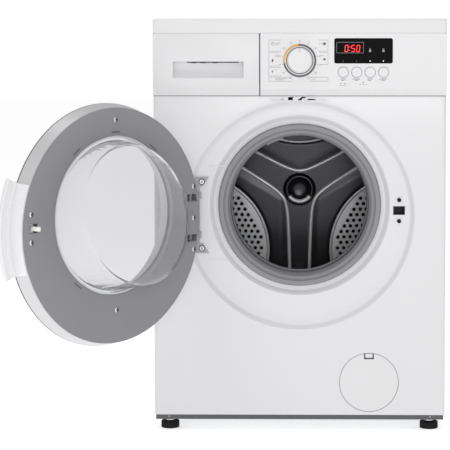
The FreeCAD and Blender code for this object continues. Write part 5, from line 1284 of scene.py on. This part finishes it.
            # The upper field takes the near-black finish as painted shadow, the two lower fields the light grey
            # finish as painted light.
            plate = shaded if angle == self.field_angles[0] else lit_plates
            plate.prism([(x, self.centre + z) for x, z in line + edge], (level - 0.6, level + 0.1))
            ux, uz = polar(1.0, angle)
            for row in range(9):
                along = 122.0 + row * self.pitch * 0.8
                for column in range(-12, 13):
                    across = (column + 0.5 * (row % 2)) * self.pitch
                    x, z = along * ux - across * uz, along * uz + across * ux
                    if math.hypot(x - cx, z - cz) > self.field_radius - 13.0 or math.hypot(x, z) > 222.0:
                        continue
                    dark.disc(x, self.centre + z, self.hole_radius, (level - 1.0, level - 0.7), 12)
                    rims.lathe([(self.hole_radius, level - 0.6), (self.hole_radius + 0.7, level - 1.6),
                                (self.hole_radius + 1.6, level - 0.6)], x, self.centre + z, steps=12)
        self.shop.piece(lit_plates.tidy(), "drum_back_fields", "drum", DRUM_FIELD_PAINTED_LIGHT, slot="stainless")
        self.shop.piece(shaded.tidy(), "drum_back_top_field_painted_shadow", "drum", DRUM_BACK_PAINTED_DARK, slot="stainless")
        self.shop.piece(dark, "drum_back_hole_shadows", "drum", HOLE_SHADOW)
        self.shop.piece(rims.tidy(), "drum_back_hole_rim_highlights", "drum", DRUM_PAINTED_HIGHLIGHT, slot="stainless",
                        smooth=80.0)


@dataclass
class Drum:
    """Rolled drum wall with its perforations, front ring and lifters."""

    shop: Workshop
    centre: float = 467.0
    outer: float = 238.0
    wall: float = 1.0
    mouth: float = 141.0
    front: float = 78.0
    back: float = 451.0

    def build(self) -> None:
        """Make the drum's pieces."""
        self.shell()
        self.perforations()
        self.shop.eased_node("drum_lifters", "drum", DRAWER_GREY, 0.8, "drawer_grey")

    def shell(self) -> None:
        """Turn the drum wall with its rolled mouth."""
        inner = self.outer - self.wall
        profile = rounded_profile([
            (self.mouth + 1.0, self.front + 8.0, 0.0), (self.mouth, self.front + 7.0, 0.5),
            (self.mouth, self.front, 2.2), (self.outer, self.front, 4.0), (self.outer, self.back, 0.0),
            (inner, self.back, 0.0), (inner, self.front + 1.2, 3.0),
            (self.mouth + 2.0, self.front + 1.2, 1.2), (self.mouth + 2.0, self.front + 8.0, 0.0)])
        form = Form()
        form.lathe(profile, 0.0, self.centre, steps=160)
        # The drum wall takes the near-black stainless as painted shade.
        self.shop.piece(form.tidy(), "drum_rolled_shell", "drum", DRUM_STEEL_PAINTED_DARK, ("drum_shell",),
                        "stainless", smooth=50.0)
        roll = Form()
        roll.lathe(rounded_profile([(self.mouth - 0.3, self.front + 6.5, 0.0),
                                    (self.mouth - 0.3, self.front - 0.3, 1.4),
                                    (self.mouth + 2.6, self.front - 0.3, 0.0)], 3), 0.0, self.centre,
                   steps=160, closed=False)
        bmesh.ops.solidify(roll.bm, geom=roll.bm.faces[:], thickness=0.25)
        self.shop.piece(roll.tidy(), "drum_mouth_roll", "drum", DRUM_LIP, slot="stainless",
                        smooth=50.0)

    def perforations(self) -> None:
        """Lay rows of small dark discs on the drum wall, seen from inside, as painted shade in its holes."""
        dark, rims = Form(), Form()
        inner = self.outer - self.wall - 0.15
        for row in range(15):
            depth = 100.0 + row * 23.0
            for column in range(60):
                angle = (column + 0.5 * (row % 2)) * 6.0
                if min(abs((angle - lifter + 180.0) % 360.0 - 180.0) for lifter in (30.0, 150.0, 270.0)) < 9.0:
                    continue
                dx, dz = polar(inner, angle)
                turn = Matrix.Translation((dx, depth, self.centre + dz)) @ Matrix.Rotation(
                    -math.radians(angle), 4, "Y") @ Matrix.Rotation(math.pi / 2, 4, "Y")
                bmesh.ops.create_cone(dark.bm, cap_ends=True, segments=8, radius1=2.4, radius2=2.4,
                                      depth=0.3, matrix=turn)
        self.shop.piece(dark, "drum_wall_hole_shadows", "drum", HOLE_SHADOW)
        rims.bm.free()


@dataclass
class Gasket:
    """Folded rubber bellows between the panel's lip and the tub's neck."""

    shop: Workshop
    centre: float = 467.0
    lip: float = 22.0

    def build(self) -> None:
        """Turn the gasket, with its rib, fold and sprayer, as a piece with no body."""
        lip = self.lip
        profile = rounded_profile([
            (167.3, lip - 6.0, 0.0), (167.3, lip + 12.0, 2.0), (163.3, lip + 18.0, 2.0),
            (163.3, 52.0, 2.0), (156.2, 56.0, 1.0), (156.2, 70.0, 0.0), (152.3, 70.0, 0.0),
            (152.3, 56.5, 1.0), (158.6, 48.0, 2.0), (158.6, 44.0, 1.5), (150.5, 38.0, 2.0),
            (143.4, 36.2, 1.0), (143.4, 30.6, 1.6), (148.2, 20.2, 1.5), (153.8, 17.4, 0.8),
            (154.6, 18.4, 0.5), (155.8, 18.2, 0.5), (157.4, 13.8, 1.2), (165.2, 13.2, 1.2),
            (167.3, lip - 6.0, 0.0)], 4)
        form = Form()
        form.lathe(profile[:-1], 0.0, self.centre, steps=160)
        sprayer = [(158.9, 44.5), (158.9, 53.0), (141.4, 54.5), (138.9, 51.5), (139.1, 46.5), (141.6, 44.0)]
        form.lathe(sprayer, 0.0, self.centre, start=104.0, sweep=15.0, steps=10)
        form.tidy()
        made = self.shop.piece(form, "porthole_gasket", "", GASKET, ("gasket",), "gasket_rubber",
                               smooth=50.0)
        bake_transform(made)


@dataclass
class Suspension:
    """Coil springs and the soft hoses that bridge cabinet and wash unit."""

    shop: Workshop
    wire: float = 1.7
    coil: float = 12.2
    low: float = 596.0
    high: float = 817.5
    places: tuple[Point, ...] = ((-262.0, 336.0), (262.0, 336.0), (-262.0, 440.0), (262.0, 440.0))

    def build(self) -> None:
        """Make the springs and the bellows hoses."""
        self.springs()
        self.fill_bellows()
        self.sump_bellows()

    def springs(self) -> None:
        """Wind four coil springs."""
        form = Form()
        turns = 26
        for x, depth in self.places:
            turn = Matrix.Translation((x + self.coil, depth, self.low + self.wire)) @ Matrix.Rotation(
                math.pi / 2, 4, "X")
            ring = bmesh.ops.create_circle(form.bm, cap_ends=False, segments=8, radius=self.wire,
                                           matrix=turn)["verts"]
            edges = {e for v in ring for e in v.link_edges}
            rise = self.high - self.low - 2 * self.wire
            bmesh.ops.spin(form.bm, geom=ring + list(edges), cent=(x, depth, self.low),
                           axis=(0.0, 0.0, 1.0), dvec=(0.0, 0.0, rise / (turns * 20)),
                           angle=math.radians(FULL_TURN * turns), steps=turns * 20, use_merge=False)
        rims = [e for e in form.bm.edges if e.is_boundary]
        bmesh.ops.holes_fill(form.bm, edges=rims, sides=0)
        form.tidy()
        made = self.shop.piece(form, "coil_springs", "", SPRING, ("suspension_springs",),
                               "spring_steel", smooth=80.0)
        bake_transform(made)

    def _bellows(self, node: str, name: str) -> None:
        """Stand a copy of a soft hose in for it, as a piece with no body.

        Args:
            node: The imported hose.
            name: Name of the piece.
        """
        made = self.shop.eased_node(node, "", HOSE_BLACK, 0.0, "hose_rubber")
        made.name = name
        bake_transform(made)

    def fill_bellows(self) -> None:
        """Make the hose between dispenser and tub."""
        self._bellows("dispenser_hose", "fill_bellows")

    def sump_bellows(self) -> None:
        """Make the hose between tub and pump."""
        self._bellows("sump_hose", "sump_bellows")


@dataclass
class Hardware:
    """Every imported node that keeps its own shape, and the small eased parts."""

    shop: Workshop
    eased: dict[str, tuple[str, float]] = field(default_factory=lambda: {
        "hinge_bracket": ("cabinet", 0.5), "door_lock": ("cabinet", 0.6),
        "filter_flap": ("filter_flap", 0.45), "filter_cap": ("filter_cap", 0.5),
        "control_board": ("cabinet", 0.6), "dispenser_housing": ("cabinet", 0.6),
        "inlet_valve": ("cabinet", 0.6), "mains_inlet": ("cabinet", 0.6),
        "counterweight_top": ("tub", 3.0), "counterweight_front": ("tub", 3.0),
        "motor_body": ("tub", 0.8), "drum_pulley": ("drum", 0.6), "drum_spider": ("drum", 0.8),
        "base_frame": ("cabinet", 0.6), "drain_pump": ("cabinet", 0.8)})

    def build(self) -> None:
        """Ease what shows its edges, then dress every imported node."""
        slots = {part["node"]: part["material_slot"] for part in frame["record"]["subparts"]}
        for node, (body, width) in self.eased.items():
            self.shop.eased_node(node, body, SLOT_FINISH[slots[node]], width, slots[node])
        for node, made in frame["nodes"].items():
            finish = SLOT_FINISH[slots[node]].material()
            for place in made.material_slots:
                place.material = finish
            if not made.material_slots:
                made.data.materials.append(finish)
            LOG.info("dressed %s", node)


@dataclass
class Studio:
    """Pale floor, soft light and the camera."""

    floor_size: float = 60.0
    location: Corner = (-0.0014, -3.5841, 0.758)
    pitch: float = 3.002
    yaw: float = 0.71
    lens: float = 128.95
    room: float = 0.52
    shift: Point = (-0.12, -0.17)

    def build(self) -> None:
        """Set up the studio."""
        self.floor()
        self.lights()
        self.camera()

    def floor(self) -> None:
        """Lay the pale floor."""
        bm = bmesh.new()
        bmesh.ops.create_grid(bm, x_segments=2, y_segments=2, size=self.floor_size / 2)
        mesh = bpy.data.meshes.new("studio_floor")
        bm.to_mesh(mesh)
        bm.free()
        made = bpy.data.objects.new("studio_floor", mesh)
        bpy.context.scene.collection.objects.link(made)
        pale = Finish("studio_floor_pale", (0.96, 0.96, 0.96), 0.7, Pattern.GLOW, scale=30.0, bump=0.0,
                      variation=0.004, glow=0.5)
        mesh.materials.append(pale.material())

    def _area(self, name: str, place: Corner, aim: Corner, size: float, power: float) -> None:
        """Hang one soft light.

        Args:
            name: Its name.
            place: Where it hangs.
            aim: What it points at.
            size: Its side.
            power: Its power in watts.
        """
        lamp = bpy.data.lights.new(name, "AREA")
        lamp.size = size
        lamp.energy = power
        made = bpy.data.objects.new(name, lamp)
        bpy.context.scene.collection.objects.link(made)
        made.location = place
        made.rotation_euler = (Vector(aim) - Vector(place)).to_track_quat("-Z", "Y").to_euler()

    def lights(self) -> None:
        """Light the scene with a bright room and three soft boxes."""
        world = bpy.data.worlds.new("bright_room")
        bpy.context.scene.world = world
        world.use_nodes = True
        tree = world.node_tree
        back = tree.nodes["Background"]
        back.inputs["Color"].default_value = (1.0, 1.0, 1.0, 1.0)
        ray = tree.nodes.new("ShaderNodeLightPath")
        level = tree.nodes.new("ShaderNodeMapRange")
        level.inputs["To Min"].default_value = self.room
        level.inputs["To Max"].default_value = 1.0
        tree.links.new(ray.outputs["Is Camera Ray"], level.inputs["Value"])
        tree.links.new(level.outputs["Result"], back.inputs["Strength"])
        self._area("front_box", (0.25, -4.3, 1.15), (0.0, 0.0, 0.5), 1.3, 32.0)
        self._area("key_box", (-1.9, -2.6, 2.9), (0.0, 0.0, 0.5), 1.8, 16.0)
        self._area("top_box", (0.0, -0.6, 3.4), (0.0, 0.0, 0.0), 3.0, 30.0)
        bpy.context.scene.view_settings.view_transform = "Standard"

    def camera(self) -> None:
        """Stand the camera where the view is taken from."""
        data = bpy.data.cameras.new("view_camera")
        data.lens = self.lens
        data.shift_x, data.shift_y = self.shift
        data.clip_end = 200.0
        made = bpy.data.objects.new("view_camera", data)
        bpy.context.scene.collection.objects.link(made)
        made.location = self.location
        made.rotation_euler = (math.radians(90.0 - self.pitch), 0.0, math.radians(self.yaw))
        bpy.context.scene.camera = made


def main() -> None:
    """Build the machine piece by piece."""
    logging.basicConfig(level=logging.INFO, format="%(name)s: %(message)s")
    hinge = next(joint for joint in frame["joints"] if joint["name"] == "door_hinge")
    pivot = Vector((hinge["pos_m"][0], hinge["pos_m"][1], 0.0))
    swing = math.radians(hinge["range_deg"][1] - hinge["range_deg"][0])
    shop = Workshop(front=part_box("front_panel")[0].y, pivot=pivot, swing=swing)
    Studio().build()
    for part in (Cabinet(shop), Controls(shop), Drawer(shop), Door(shop), Drum(shop), DrumBack(shop),
                 Gasket(shop), Suspension(shop), Hardware(shop)):
        part.build()
        LOG.info("%s finished", type(part).__name__)
    LOG.info("%d pieces", shop.count)


if __name__ == "__main__":
    main()
